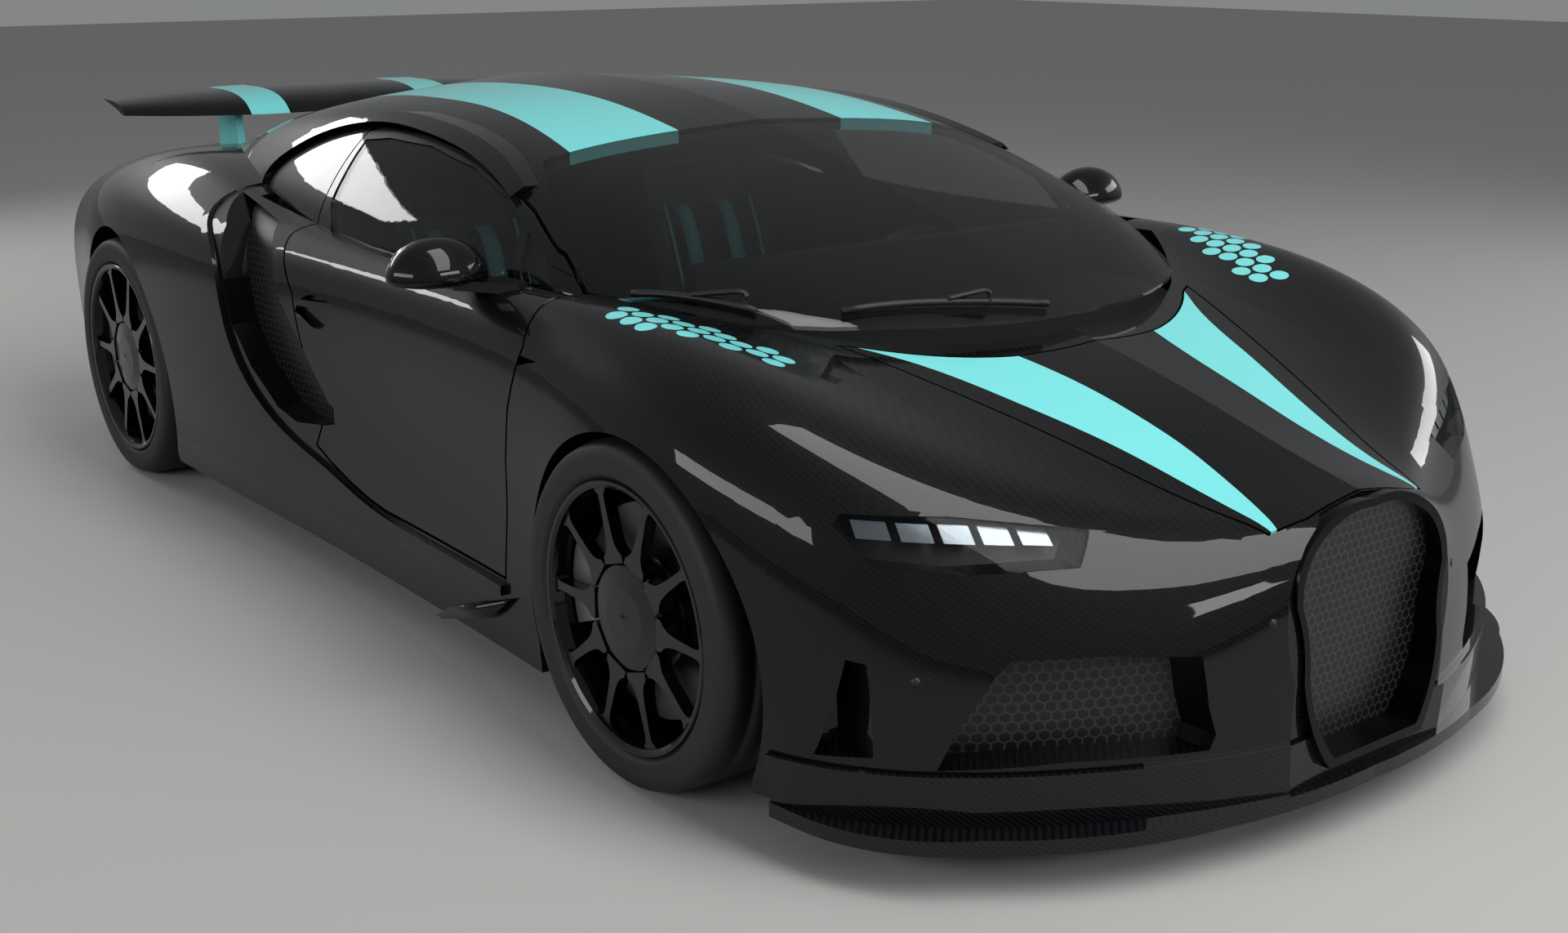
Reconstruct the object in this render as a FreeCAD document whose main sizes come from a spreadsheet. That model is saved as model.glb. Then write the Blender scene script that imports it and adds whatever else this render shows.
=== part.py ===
"""A mid-engined two-seat hypercar, as an assembly of separate body panels, cabin, axles and wheels.

Frame: +X is forward, +Y is the car's left, +Z is up. The origin is on the ground, midway along
the length and on the centre plane. All sizes are in millimetres.
"""
import FreeCAD, Part

import math
import os

import Sketcher
from FreeCAD import Placement, Rotation, Vector

doc = FreeCAD.newDocument("hypercar")

# Driving dimensions. Each row is alias, value, what it is.
SIZES = [
    ("wheelbase", 2711, "front axle to rear axle"),
    ("front_overhang", 960, "front axle to the splitter's edge"),
    ("rear_overhang", 873, "rear axle to the diffuser's edge"),
    ("glasshouse_height", 412, "waistline to the roof's guide lines"),
    ("ride_height", 110, "ground to the flat floor"),
    ("front_track", 1749, "between the front tyres' middles"),
    ("rear_track_step", 83, "how much narrower the rear track is"),
    ("front_tyre_radius", 340, "285/30 R20"),
    ("front_tyre_width", 285, "285/30 R20"),
    ("front_sidewall", 74, "front tyre radius less the rim's flange"),
    ("rear_tyre_radius", 355, "355/25 R21"),
    ("rear_tyre_width", 355, "355/25 R21"),
    ("rear_sidewall", 76, "rear tyre radius less the rim's flange"),
    ("front_caliper_room", 56, "front rim's flange to the brake disc's edge"),
    ("rear_caliper_room", 79, "rear rim's flange to the brake disc's edge"),
    ("disc_width", 38, "brake disc"),
    ("front_arch_clearance", 45, "front tyre radius to the arch opening"),
    ("rear_arch_clearance", 41, "rear tyre radius to the arch opening"),
    ("shut_gap", 5, "between the bonnet and the panels round it"),
    ("door_gap", 7, "between a door and the panels round it"),
    ("seam", 0.3, "between fixed pieces that seat on each other"),
    ("glass_width", 6, "windscreen and door glass"),
    ("door_inner", 850, "centre plane to the door's inner face"),
]
sheet = doc.addObject("Spreadsheet::Sheet", "Sizes")
for row, (alias, value, note) in enumerate(SIZES, start=1):
    sheet.set(f"A{row}", note)
    sheet.set(f"B{row}", str(value))
    sheet.setAlias(f"B{row}", alias)
doc.recompute()


def size(alias):
    """A driving dimension, read from the sheet."""
    return float(getattr(sheet, alias))


HALF_LENGTH = (size("front_overhang") + size("wheelbase") + size("rear_overhang")) / 2
NOSE = HALF_LENGTH
FRONT = NOSE - size("front_overhang")
REAR = FRONT - size("wheelbase")
TAIL = -HALF_LENGTH
BELT = 800
LIFT = size("glasshouse_height") / 412
FLOOR = size("ride_height")
GAP = size("shut_gap")
DOOR_GAP = size("door_gap")
SEAM = size("seam")
TYRE = {axle: size(f"{axle}_tyre_radius") for axle in ("front", "rear")}
HALF_TYRE = {axle: size(f"{axle}_tyre_width") / 2 for axle in ("front", "rear")}
RIM = {axle: TYRE[axle] - size(f"{axle}_sidewall") for axle in ("front", "rear")}
DISC = {axle: RIM[axle] - size(f"{axle}_caliper_room") for axle in ("front", "rear")}
FRONT_Y = size("front_track") / 2
REAR_Y = (size("front_track") - size("rear_track_step")) / 2
HALF_WIDTH = FRONT_Y + HALF_TYRE["front"] + 2
ANCHOR = {"N": NOSE, "F": FRONT, "R": REAR, "T": TAIL}
FAR = 3000

# The lower body's cross-sections, half of each, as the poles of a smooth skin.
# Columns: anchor and offset along X; then for the rocker, flank, waist, shoulder, brow and crown
# the inset from half_width and the height; then for the valley, crease and mid line the distance
# from the centre plane and the height; last the centre line's height.
HULL = [
    ("N", -28, (804, 0), (790, 220), (797, 340), (817, 450), (843, 520), (874, 558), (112, 580),
     (80, 590), (40, 596), 598),
    ("N", -80, (619, 0), (603, 220), (619, 340), (679, 440), (739, 505), (794, 548), (180, 577),
     (150, 590), (70, 606), 614),
    ("N", -170, (429, 0), (419, 220), (429, 360), (499, 455), (589, 525), (689, 568), (250, 582),
     (205, 592), (95, 618), 634),
    ("N", -280, (259, 0), (244, 230), (254, 380), (319, 475), (409, 555), (529, 605), (380, 605),
     (262, 612), (125, 642), 662),
    ("N", -400, (139, 0), (119, 240), (129, 400), (159, 525), (219, 620), (329, 675), (510, 655),
     (318, 648), (150, 677), 697),
    ("F", 420, (59, 0), (34, 250), (29, 430), (39, 570), (84, 690), (209, 755), (600, 708),
     (370, 692), (175, 717), 735),
    ("F", 230, (29, 0), (4, 260), (-11, 450), (-16, 600), (19, 745), (159, 830), (660, 765),
     (440, 745), (210, 762), 778),
    ("F", 20, (29, 0), (9, 260), (-11, 450), (-19, 620), (14, 795), (149, 872), (710, 820),
     (520, 800), (250, 808), 818),
    ("F", -220, (34, 0), (19, 260), (17, 450), (6, 640), (34, 815), (154, 888), (730, 850),
     (560, 830), (280, 838), 842),
    ("F", -420, (44, 0), (34, 260), (52, 450), (34, 660), (54, 825), (149, 888), (720, 850),
     (540, 830), (270, 830), 830),
    ("F", -1000, (54, 0), (44, 250), (86, 450), (56, 680), (72, 808), (136, 868), (700, 840),
     (500, 820), (250, 820), 820),
    ("R", 1250, (54, 0), (39, 250), (66, 450), (36, 690), (58, 815), (136, 872), (700, 845),
     (500, 825), (250, 825), 825),
    ("R", 800, (39, 0), (14, 250), (14, 450), (-8, 680), (18, 840), (154, 910), (680, 890),
     (480, 860), (240, 850), 850),
    ("R", 400, (34, 0), (9, 250), (-8, 450), (-22, 670), (8, 860), (164, 965), (680, 960), (480, 930),
     (240, 900), 890),
    ("R", 0, (34, 0), (14, 250), (-6, 450), (-22, 660), (14, 850), (169, 955), (660, 960), (460, 950),
     (230, 930), 920),
    ("R", -300, (59, 0), (49, 250), (34, 450), (25, 640), (62, 815), (190, 905), (640, 925),
     (440, 925), (220, 915), 905),
    ("R", -560, (119, 0), (109, 260), (99, 450), (95, 610), (124, 765), (232, 850), (620, 885),
     (420, 895), (210, 895), 890),
    ("T", 60, (164, 0), (159, 280), (151, 450), (148, 590), (176, 720), (269, 805), (600, 855),
     (400, 872), (200, 878), 876),
]

# The glasshouse's cross-sections, half of each. Columns: anchor and offset along X; distance from
# the centre plane and height over the waistline of its foot, belt, middle, rail, outer and inner
# roof lines; last the centre line's height over it.
CANOPY = [
    ("F", 245, (300, -100), (300, -28), (270, -20), (220, -16), (150, -13), (75, -11), -10),
    ("F", 60, (500, -100), (520, -13), (480, 10), (400, 34), (270, 54), (130, 65), 69),
    ("F", -200, (660, -100), (725, 12), (685, 57), (585, 112), (405, 144), (200, 159), 164),
    ("F", -500, (780, -100), (845, 32), (795, 100), (690, 172), (500, 220), (250, 244), 249),
    ("F", -850, (830, -100), (892, 42), (825, 155), (722, 257), (560, 299), (280, 321), 330),
    ("F", -1200, (840, -100), (900, 48), (822, 184), (712, 309), (560, 356), (280, 378), 390),
    ("R", 1150, (830, -100), (892, 52), (800, 192), (690, 317), (550, 366), (280, 390), 402),
    ("R", 750, (790, -100), (850, 72), (770, 192), (660, 299), (520, 347), (270, 371), 392),
    ("R", 350, (720, -100), (780, 82), (700, 175), (600, 252), (470, 290), (240, 314), 342),
    ("R", -50, (620, -100), (680, 62), (620, 127), (520, 182), (400, 217), (200, 237), 262),
    ("R", -400, (540, -100), (590, 22), (530, 67), (440, 107), (340, 137), (170, 157), 172),
    ("T", 140, (500, -100), (540, -13), (490, 20), (400, 47), (300, 67), (150, 82), 92),
]


def hull_poles(grow=0.0):
    """Poles of the lower body's skin, one row for each section, grown outwards and upwards."""
    rows = []
    for anchor, offset, *outer, valley, crease, mid, centre in HULL:
        x = ANCHOR[anchor] + offset
        row = [Vector(x, HALF_WIDTH - inset + grow, height or FLOOR) for inset, height in outer]
        row += [Vector(x, y, height + grow) for y, height in (valley, crease, mid)]
        rows.append(row + [Vector(x, 0, centre + grow)])
    return rows


def raised(height):
    """A height that follows the glasshouse: unchanged up to the waistline, stretched above it."""
    return BELT + (height - BELT) * LIFT if height > BELT else height


def canopy_poles(grow=0.0):
    """Poles of the glasshouse's skin, grown outwards and upwards."""
    rows = []
    for anchor, offset, *lines, centre in CANOPY:
        x = ANCHOR[anchor] + offset
        row = [Vector(x, y + grow, raised(BELT + rise) + grow) for y, rise in lines]
        row[0].z -= grow
        rows.append(row + [Vector(x, 0, raised(BELT + centre) + grow)])
    return rows


def clamped_knots(count, degree=3):
    """Knots and multiplicities of an even spline that starts and ends on its end poles."""
    inner = count - degree - 1
    return list(range(inner + 2)), [degree + 1] + [1] * inner + [degree + 1]


def spline_curve(poles):
    knots, multiplicities = clamped_knots(len(poles))
    curve = Part.BSplineCurve()
    curve.buildFromPolesMultsKnots(poles, multiplicities, knots, False, 3)
    return curve.toShape()


def half_solid(rows):
    """The closed left half of a skin: flat underneath, on the centre plane and at both ends."""
    u_knots, u_multiplicities = clamped_knots(len(rows))
    v_knots, v_multiplicities = clamped_knots(len(rows[0]))
    surface = Part.BSplineSurface()
    surface.buildFromPolesMultsKnots(
        rows, u_multiplicities, v_multiplicities, u_knots, v_knots, False, False, 3, 3
    )
    first, last = rows[0], rows[-1]
    front_foot = Vector(first[0].x, 0, first[0].z)
    rear_foot = Vector(last[0].x, 0, last[0].z)
    foot_edge = spline_curve([row[0] for row in rows])
    spine_edge = spline_curve([row[-1] for row in rows])
    front_edge, rear_edge = spline_curve(first), spline_curve(last)
    front_foot_edge = Part.makeLine(front_foot, first[0])
    rear_foot_edge = Part.makeLine(rear_foot, last[0])
    front_spine_edge = Part.makeLine(first[-1], front_foot)
    rear_spine_edge = Part.makeLine(last[-1], rear_foot)
    keel_edge = Part.makeLine(front_foot, rear_foot)
    wires = [
        [foot_edge, rear_foot_edge, keel_edge, front_foot_edge],
        [spine_edge, rear_spine_edge, keel_edge, front_spine_edge],
        [front_edge, front_spine_edge, front_foot_edge],
        [rear_edge, rear_spine_edge, rear_foot_edge],
    ]
    faces = [Part.Face(Part.Wire(Part.__sortEdges__(edges))) for edges in wires]
    shell = Part.makeShell([surface.toShape()] + faces)
    shell.sewShape()
    solid = Part.makeSolid(shell)
    if solid.Volume < 0:
        solid.reverse()
    return solid


def moved(shape, x=0.0, y=0.0, z=0.0):
    copy = shape.copy()
    copy.translate(Vector(x, y, z))
    return copy


def mirrored(shape):
    return shape.mirror(Vector(0, 0, 0), Vector(0, 1, 0))


def outline(points):
    """A closed wire's edges. A point is (a, b), or (am, bm, a, b) for an arc that passes am, bm."""
    edges, here = [], Vector(*points[0][-2:], 0)
    for point in points[1:] + points[:1]:
        there = Vector(*point[-2:], 0)
        if len(point) == 4:
            edges.append(Part.Arc(here, Vector(*point[:2], 0), there).toShape())
        else:
            edges.append(Part.makeLine(here, there))
        here = there
    return Part.Wire(edges)


def plan_prism(points, low, high):
    """An outline in X and Y, from one height to another."""
    face = Part.Face(outline(points))
    return moved(face.extrude(Vector(0, 0, high - low)), z=low)


def side_prism(points, low, high):
    """An outline in X and Z, from one Y to another."""
    face = Part.Face(outline(points))
    face.rotate(Vector(0, 0, 0), Vector(1, 0, 0), 90)
    return moved(face.extrude(Vector(0, high - low, 0)), y=low)


def front_prism(points, low, high):
    """An outline in Y and Z, from one X to another."""
    face = Part.Face(outline(points))
    turn = Rotation(Vector(0, 1, 0), Vector(0, 0, 1), Vector(1, 0, 0), "XYZ")
    face.Placement = Placement(Vector(low, 0, 0), turn)
    return face.extrude(Vector(high - low, 0, 0))


def box(x, y, z):
    """A block between pairs of limits."""
    return Part.makeBox(x[1] - x[0], y[1] - y[0], z[1] - z[0], Vector(x[0], y[0], z[0]))


def cylinder(radius, start, direction, length):
    return Part.makeCylinder(radius, length, Vector(*start), Vector(*direction))


def common(shape, *others):
    for other in others:
        shape = shape.common(other)
    return shape


def without(shape, *others):
    for other in others:
        shape = shape.cut(other)
    return shape


def joined(*shapes):
    """One solid from several that overlap or share a face."""
    result = shapes[0].fuse(list(shapes[1:]))
    return result.Solids[0] if len(result.Solids) == 1 else result


def both_sides(half):
    """One solid across the centre plane, from its left half."""
    return joined(half, mirrored(half))


def pair(left):
    """A left piece and its right-hand twin, as solids that don't touch."""
    return Part.makeCompound(left.Solids + mirrored(left).Solids)


PIECES = []


def piece(name, shape):
    """A finished sub-part whose form is given by surfaces."""
    item = doc.addObject("Part::Feature", name)
    item.Label = name
    item.Shape = shape
    PIECES.append(item)
    return item


def grown_points(points, distance):
    """An outline's points, arcs' middles included, pushed outwards by a distance."""
    path = [pair for point in points for pair in (point[:2], point[2:]) if pair]
    area = sum(p[0] * q[1] - q[0] * p[1] for p, q in zip(path, path[1:] + path[:1]))
    side = 1 if area > 0 else -1
    pushed = []
    for i, (a, b) in enumerate(path):
        normals = []
        for (x0, y0), (x1, y1) in ((path[i - 1], path[i]), (path[i], path[(i + 1) % len(path)])):
            length = math.hypot(x1 - x0, y1 - y0)
            normals.append((side * (y1 - y0) / length, side * (x0 - x1) / length))
        (n1, m1), (n2, m2) = normals
        share = distance / (1 + n1 * n2 + m1 * m2)
        pushed.append((a + (n1 + n2) * share, b + (m1 + m2) * share))
    result, i = [], 0
    for point in points:
        result.append(sum(pushed[i:i + len(point) // 2], ()))
        i += len(point) // 2
    return result


def side_prism_grown(points, distance, low, high):
    return side_prism(grown_points(points, distance), low, high)


def plan_prism_grown(points, distance, low, high):
    return plan_prism(grown_points(points, distance), low, high)


def lifted(points):
    """Side-view points whose heights follow the glasshouse."""
    return [(x, raised(z)) for x, z in points]


def curve_through(points):
    """A smooth edge through side-view points."""
    curve = Part.BSplineCurve()
    curve.interpolate([Vector(x, 0, z) for x, z in points])
    return curve.toShape()


def moved_line(points, distance):
    """Points pushed outwards from a line that runs back, down and forward again."""
    result = []
    for i, (x, z) in enumerate(points):
        before, after = points[max(i - 1, 0)], points[min(i + 1, len(points) - 1)]
        along, up = after[0] - before[0], after[1] - before[1]
        length = math.hypot(along, up)
        result.append((x + distance * up / length, z - distance * along / length))
    return result


def curve_prism(first, second, low, high):
    """The space between two smooth side-view lines, from one Y to another."""
    a, b = curve_through(first), curve_through(second)
    ends = [Part.makeLine(Vector(*p), Vector(*q)) for p, q in (
        ((first[0][0], 0, first[0][1]), (second[0][0], 0, second[0][1])),
        ((first[-1][0], 0, first[-1][1]), (second[-1][0], 0, second[-1][1])),
    )]
    face = Part.Face(Part.Wire(Part.__sortEdges__([a, ends[0], b, ends[1]])))
    return moved(face.extrude(Vector(0, high - low, 0)), y=low)


def largest(shape):
    return max(shape.Solids, key=lambda solid: solid.Volume)


# Cut lines, in side view (X, Z) and plan (X, Y).
DOOR_LINE = lifted([
    (FRONT - 489, 281), (FRONT - 479, 417), (FRONT - 475, 532), (FRONT - 449, 651), (FRONT - 425, 718),
    (FRONT - 405, 782), (FRONT - 428, 866), (FRONT - 446, 892), (FRONT - 590, 929), (FRONT - 732, 991),
    (FRONT - 866, 1035), (FRONT - 1061, 1080), (FRONT - 1327, 1106), (FRONT - 1552, 1105),
    (FRONT - 1600, 1090), (FRONT - 1598, 1000), (FRONT - 1590, 929), (FRONT - 1600, 855),
    (FRONT - 1484, 727), (FRONT - 1462, 617), (FRONT - 1420, 519), (FRONT - 1386, 421),
    (FRONT - 1419, 362), (FRONT - 1351, 336), (FRONT - 1252, 309), (FRONT - 1152, 290), (FRONT - 1062, 281),
])
WINDOW_LINE = lifted([
    (FRONT - 452, 878), (FRONT - 590, 908), (FRONT - 732, 972), (FRONT - 826, 1010), (FRONT - 1012, 1058),
    (FRONT - 1239, 1086), (FRONT - 1459, 1087), (FRONT - 1578, 1074), (FRONT - 1564, 999),
    (FRONT - 1552, 929), (FRONT - 1500, 845), (FRONT - 700, 845),
])
WINDOW_BAR = lifted([(FRONT - 752, 1010), (FRONT - 728, 1010), (FRONT - 624, 845), (FRONT - 648, 845)])
# The raised line that sweeps from the windscreen over the door, round the intake and along the sill.
SWEEP_LINE = lifted([
    (FRONT - 800, 1018), (FRONT - 936, 1062), (FRONT - 1061, 1089), (FRONT - 1327, 1117),
    (FRONT - 1596, 1115), (FRONT - 1787, 1083), (FRONT - 1962, 1020), (FRONT - 2047, 945),
    (FRONT - 2032, 880), (FRONT - 1952, 815), (FRONT - 1887, 745), (FRONT - 1860, 665),
    (FRONT - 1842, 585), (FRONT - 1802, 505), (FRONT - 1697, 416), (FRONT - 1530, 352),
    (FRONT - 1351, 316), (FRONT - 1152, 278), (FRONT - 1012, 266), (FRONT - 750, 262), (FRONT - 489, 262),
])
INTAKE_LINE = lifted([
    (FRONT - 2026, 908), (FRONT - 1909, 842), (FRONT - 1850, 715), (FRONT - 1822, 600), (FRONT - 1747, 501),
    (FRONT - 1624, 418), (FRONT - 1526, 397), (FRONT - 1386, 416), (FRONT - 1278, 442), (FRONT - 1360, 483),
    (FRONT - 1430, 560), (FRONT - 1497, 640), (FRONT - 1561, 716), (FRONT - 1625, 819), (FRONT - 1713, 869),
])
BONNET_LINE = [
    (NOSE - 89, 0), (NOSE - 89, 148), (NOSE - 110, 222), (FRONT + 34, 510), (FRONT + 50, 481),
    (FRONT + 143, 352, FRONT + 205, 213), (FRONT + 225, 110, FRONT + 231, 0),
]
BUMPER_LINE = [
    (NOSE + 60, 0), (NOSE - 82, 0), (NOSE - 82, 150), (NOSE - 102, 234), (NOSE - 194, 357),
    (NOSE - 277, 512), (NOSE - 386, 723), (NOSE - 492, 890), (FRONT + 400, 955), (FRONT + 400, 1100),
    (NOSE + 60, 1100),
]
SCREEN_LINE = [
    (FRONT - 892, 0), (FRONT - 880, 600), (FRONT - 874, 626), (FRONT - 632, 722, FRONT - 451, 762),
    (FRONT - 303, 768), (FRONT - 156, 652, FRONT - 12, 508), (FRONT + 118, 270, FRONT + 160, 0),
]
COWL_LINE = [
    (FRONT - 280, 0), (FRONT - 280, 807), (FRONT + 34, 515), (FRONT + 60, 481), (FRONT + 300, 300),
    (FRONT + 300, 0),
]
# The headlamp's outline seen from the front (Y, Z), and the lower corner of each of its lights.
LAMP_LINE = [(892, 622), (876, 640), (723, 630), (500, 592), (548, 540), (724, 540), (858, 560)]
LAMPS = [(560, 568), (622, 573), (684, 579), (746, 585), (808, 592)]
ARCH_X, ARCH_Z = FRONT + 13, TYRE["front"] - 28
REAR_ARCH_X, REAR_ARCH_Z = REAR + 15, TYRE["rear"] - 5
ARCH = TYRE["front"] + size("front_arch_clearance")
REAR_ARCH = TYRE["rear"] + size("rear_arch_clearance")
LOCK = math.radians(30)
WELL = FRONT_Y - TYRE["front"] * math.sin(LOCK) - HALF_TYRE["front"] * math.cos(LOCK) - 11
REAR_WELL = REAR_Y - HALF_TYRE["rear"] - 40
DECK_HALF = REAR_WELL - 55
INNER = size("door_inner")
# The door hinges' upright pins and the bonnet's two side pins.
DOOR_PIN = (FRONT - 352, 960)
DOOR_HINGES = (600, 750)
BONNET_PIN = (FRONT + 61, 788)
BULKHEAD = FRONT - 1952
SILL = 200

hull = half_solid(hull_poles())
canopy = half_solid(canopy_poles())
body = hull.fuse(canopy)
cabin_space = moved(canopy, z=-30)
under_hull = moved(hull, z=-35)
door_prism = side_prism(DOOR_LINE, 500, FAR)
door_core_prism = side_prism_grown(DOOR_LINE, -10, 500, FAR)
door_space = side_prism_grown(DOOR_LINE, DOOR_GAP, 480, FAR)
window_prism = side_prism(WINDOW_LINE, 500, FAR)
window_opening = side_prism_grown(WINDOW_LINE, SEAM, 480, FAR)
bar_prism = side_prism(WINDOW_BAR, 500, FAR)
bonnet_space = plan_prism_grown(BONNET_LINE, GAP, 0, FAR)
bumper_prism = plan_prism(BUMPER_LINE, 0, FAR)
lamp_region = common(hull, front_prism(LAMP_LINE, FRONT + 300, NOSE))
lamp_pocket = without(lamp_region, moved(hull, x=-84, y=-30))
cowl_prism = plan_prism(COWL_LINE, 500, FAR)
screen_prism = plan_prism(SCREEN_LINE, 700, FAR)
screen_opening = plan_prism_grown(SCREEN_LINE, SEAM, 690, FAR)
pillar_zone = plan_prism_grown(SCREEN_LINE, 20, 690, FAR)
pillar_room = plan_prism_grown(SCREEN_LINE, 20 + DOOR_GAP, 690, FAR)
upper_door_space = without(door_space, pillar_zone)
SWEEP_CHORD = [(FRONT - 800, 700), (FRONT - 700, 600), (FRONT - 489, 500)]
sweep_inside = curve_prism(SWEEP_LINE, SWEEP_CHORD, 500, FAR)
sweep_outside = curve_prism(moved_line(SWEEP_LINE, SEAM), SWEEP_CHORD, 500, FAR)
intake_prism = side_prism(INTAKE_LINE, 500, FAR)
front_well = joined(
    cylinder(ARCH, (ARCH_X, WELL, ARCH_Z), (0, 1, 0), FAR),
    cylinder(ARCH + 35, (ARCH_X, WELL, ARCH_Z + 5), (0, 1, 0), FRONT_Y + 55 - WELL),
    box((ARCH_X - ARCH + 45, ARCH_X + ARCH - 45), (WELL, FAR), (0, 150)),
)
rear_well = joined(
    cylinder(REAR_ARCH, (REAR_ARCH_X, REAR_WELL, REAR_ARCH_Z), (0, 1, 0), FAR),
    box((REAR_ARCH_X - REAR_ARCH + 66, REAR_ARCH_X + REAR_ARCH - 66), (REAR_WELL, FAR), (0, 150)),
)

# Front bodywork: bonnet, wings, cowl and bumper.
bonnet = without(common(hull, plan_prism(BONNET_LINE, 0, FAR)), moved(hull, z=-17))
bonnet_pin = cylinder(4, (BONNET_PIN[0], 470, BONNET_PIN[1]), (0, 1, 0), 75)
bonnet_bore = cylinder(4 + SEAM, (BONNET_PIN[0], 468, BONNET_PIN[1]), (0, 1, 0), 79)
piece("bonnet", both_sides(joined(largest(bonnet), bonnet_pin)))

wing_region = without(
    common(hull, box((FRONT - 520, NOSE), (0, FAR), (FLOOR, FAR))), bumper_prism, bonnet_space, door_space
)
wing_block = common(wing_region, box((FRONT - 520, NOSE), (WELL - 5, FAR), (FLOOR, FAR)))
wing_skin = without(wing_region, under_hull)
wings = without(
    joined(wing_block, wing_skin), front_well, cabin_space, moved(cowl_prism, y=SEAM),
    box((FRONT - 600, FRONT - 420), (0, INNER + 2), (0, FAR)), screen_opening,
    box((FRONT - 600, FRONT - 300), (0, FAR), (0, SILL + SEAM)), lamp_pocket,
    box((FRONT - 600, FRONT - 489 - DOOR_GAP + SEAM), (0, FAR), (0, 290)), bonnet_bore,
)
hinge_arms = []
for height in DOOR_HINGES:
    room = box((FRONT - 520, DOOR_PIN[0] + 18), (INNER, DOOR_PIN[1] + 16), (height - 16, height + 16))
    pin = cylinder(8, (*DOOR_PIN, height - 18), (0, 0, 1), 36)
    wings = joined(without(largest(wings), room), pin)
    arm = joined(
        cylinder(14, (*DOOR_PIN, height - 10), (0, 0, 1), 20),
        box((DOOR_PIN[0] - 17, DOOR_PIN[0] - 3), (INNER + 8, DOOR_PIN[1]), (height - 10, height + 10)),
        box((FRONT - 520, DOOR_PIN[0] - 3), (INNER + 8, INNER + 22), (height - 10, height + 10)),
    )
    hinge_arms.append(without(arm, cylinder(8 + SEAM, (*DOOR_PIN, height - 20), (0, 0, 1), 40)))
piece("front_wings", pair(largest(wings)))
cowl = without(
    common(hull, cowl_prism), under_hull, bonnet_space, screen_opening, door_space, front_well,
    bonnet_bore,
)
piece("cowl", both_sides(largest(cowl)))

duct_prism = front_prism([
    (692, 404), (553, 403), (395, 389), (386, 298), (371, 245), (381, 218), (616, 222), (800, 212),
    (775, 287), (721, 375),
], FRONT + 300, NOSE + 50)
curtain_prism = front_prism(
    [(905, 402), (882, 396), (876, 230), (936, 222), (924, 300)], FRONT + 380, NOSE + 50)
SHOE_LINE = [
    (0, 140), (138, 140), (188, 230, 206, 321), (208, 400, 223, 451), (210, 520, 184, 555),
    (120, 594, 0, 606),
]
shoe_prism = front_prism(SHOE_LINE, NOSE - 300, NOSE + 60)
nose_lean = side_prism([(NOSE - 5, 100), (NOSE - 62, 620), (NOSE + 100, 700), (NOSE + 100, 100)], -5, FAR)
bumper = common(hull, bumper_prism, box((0, NOSE), (-5, FAR), (205, FAR)))
bumper = without(
    bumper, common(moved(hull, x=-80, z=-50), box((0, NOSE), (-5, 640), (FLOOR + 25, 900))),
    lamp_pocket, without(duct_prism, moved(hull, x=-110, y=-60)),
    without(curtain_prism, moved(hull, x=-46, y=-40)), shoe_prism, front_well, nose_lean,
)
piece("front_bumper", both_sides(largest(bumper)))
lens = without(lamp_region, moved(hull, x=-6, z=-2))
housing = without(common(moved(hull, x=-60, z=-2), lamp_region), moved(hull, x=-84 + SEAM, y=-30))
piece("headlamp_lenses", pair(largest(lens)))
piece("headlamp_housings", pair(largest(housing)))
lights = []
for y, z in LAMPS:
    block = common(moved(hull, x=-24, z=-2), front_prism([
        (y, z), (y + 48, z + 5), (y + 48, z + 34), (y, z + 29)], FRONT + 300, NOSE))
    lights.append(largest(without(block, moved(hull, x=-60 + SEAM, z=-2))))
piece("headlamp_lights", Part.makeCompound(lights + [mirrored(light) for light in lights]))
duct_grille = without(common(moved(hull, x=-70, y=-20), duct_prism, bumper_prism), moved(hull, x=-82, y=-20))
piece("intake_grilles", pair(largest(duct_grille)))
shoe_ring = without(
    front_prism(SHOE_LINE, NOSE - 70, NOSE + 20),
    front_prism([
        (-5, 156), (124, 156), (172, 235, 190, 321), (193, 400, 207, 451), (194, 510, 172, 542),
        (110, 579, -5, 591),
    ], NOSE - 100, NOSE + 40),
    moved(nose_lean, x=8),
)
piece("grille_surround", both_sides(common(shoe_ring, box((0, FAR), (0, 400), (0, 700)))))
piece("centre_grille", both_sides(front_prism([
    (0, 148), (132, 148), (180, 232, 198, 321), (200, 400, 215, 451), (202, 515, 178, 548),
    (115, 586, 0, 598),
], NOSE - 82, NOSE - 70 - SEAM)))
valance = without(
    common(
        moved(half_solid(hull_poles(8)), x=8), bumper_prism, box((0, NOSE), (-5, FAR), (FLOOR, 205 - SEAM))),
    common(moved(hull, x=-80), box((0, NOSE), (-5, 640), (FLOOR, 900))), shoe_prism, front_well,
)
piece("front_valance", both_sides(largest(valance)))
splitter = plan_prism([
    (FRONT + 400, 0), (NOSE, 0), (NOSE - 4, 170, NOSE - 40, 370), (NOSE - 112, 595, NOSE - 230, 778),
    (NOSE - 347, 905, NOSE - 500, 960), (FRONT + 400, 968),
], 82, FLOOR - SEAM)
piece("splitter", both_sides(without(splitter, front_well)))

# Windscreen, roof with its pillars, and doors.
screen = without(
    common(canopy, screen_prism), moved(canopy, x=-3, z=-size("glass_width")), moved(hull, z=SEAM)
)
piece("windscreen", both_sides(largest(screen)))
roof = without(
    common(canopy, box((BULKHEAD, FRONT + 300), (0, FAR), (700, FAR))),
    cabin_space, screen_opening, upper_door_space, moved(hull, z=SEAM),
)
piece("roof", both_sides(largest(roof)))

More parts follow.
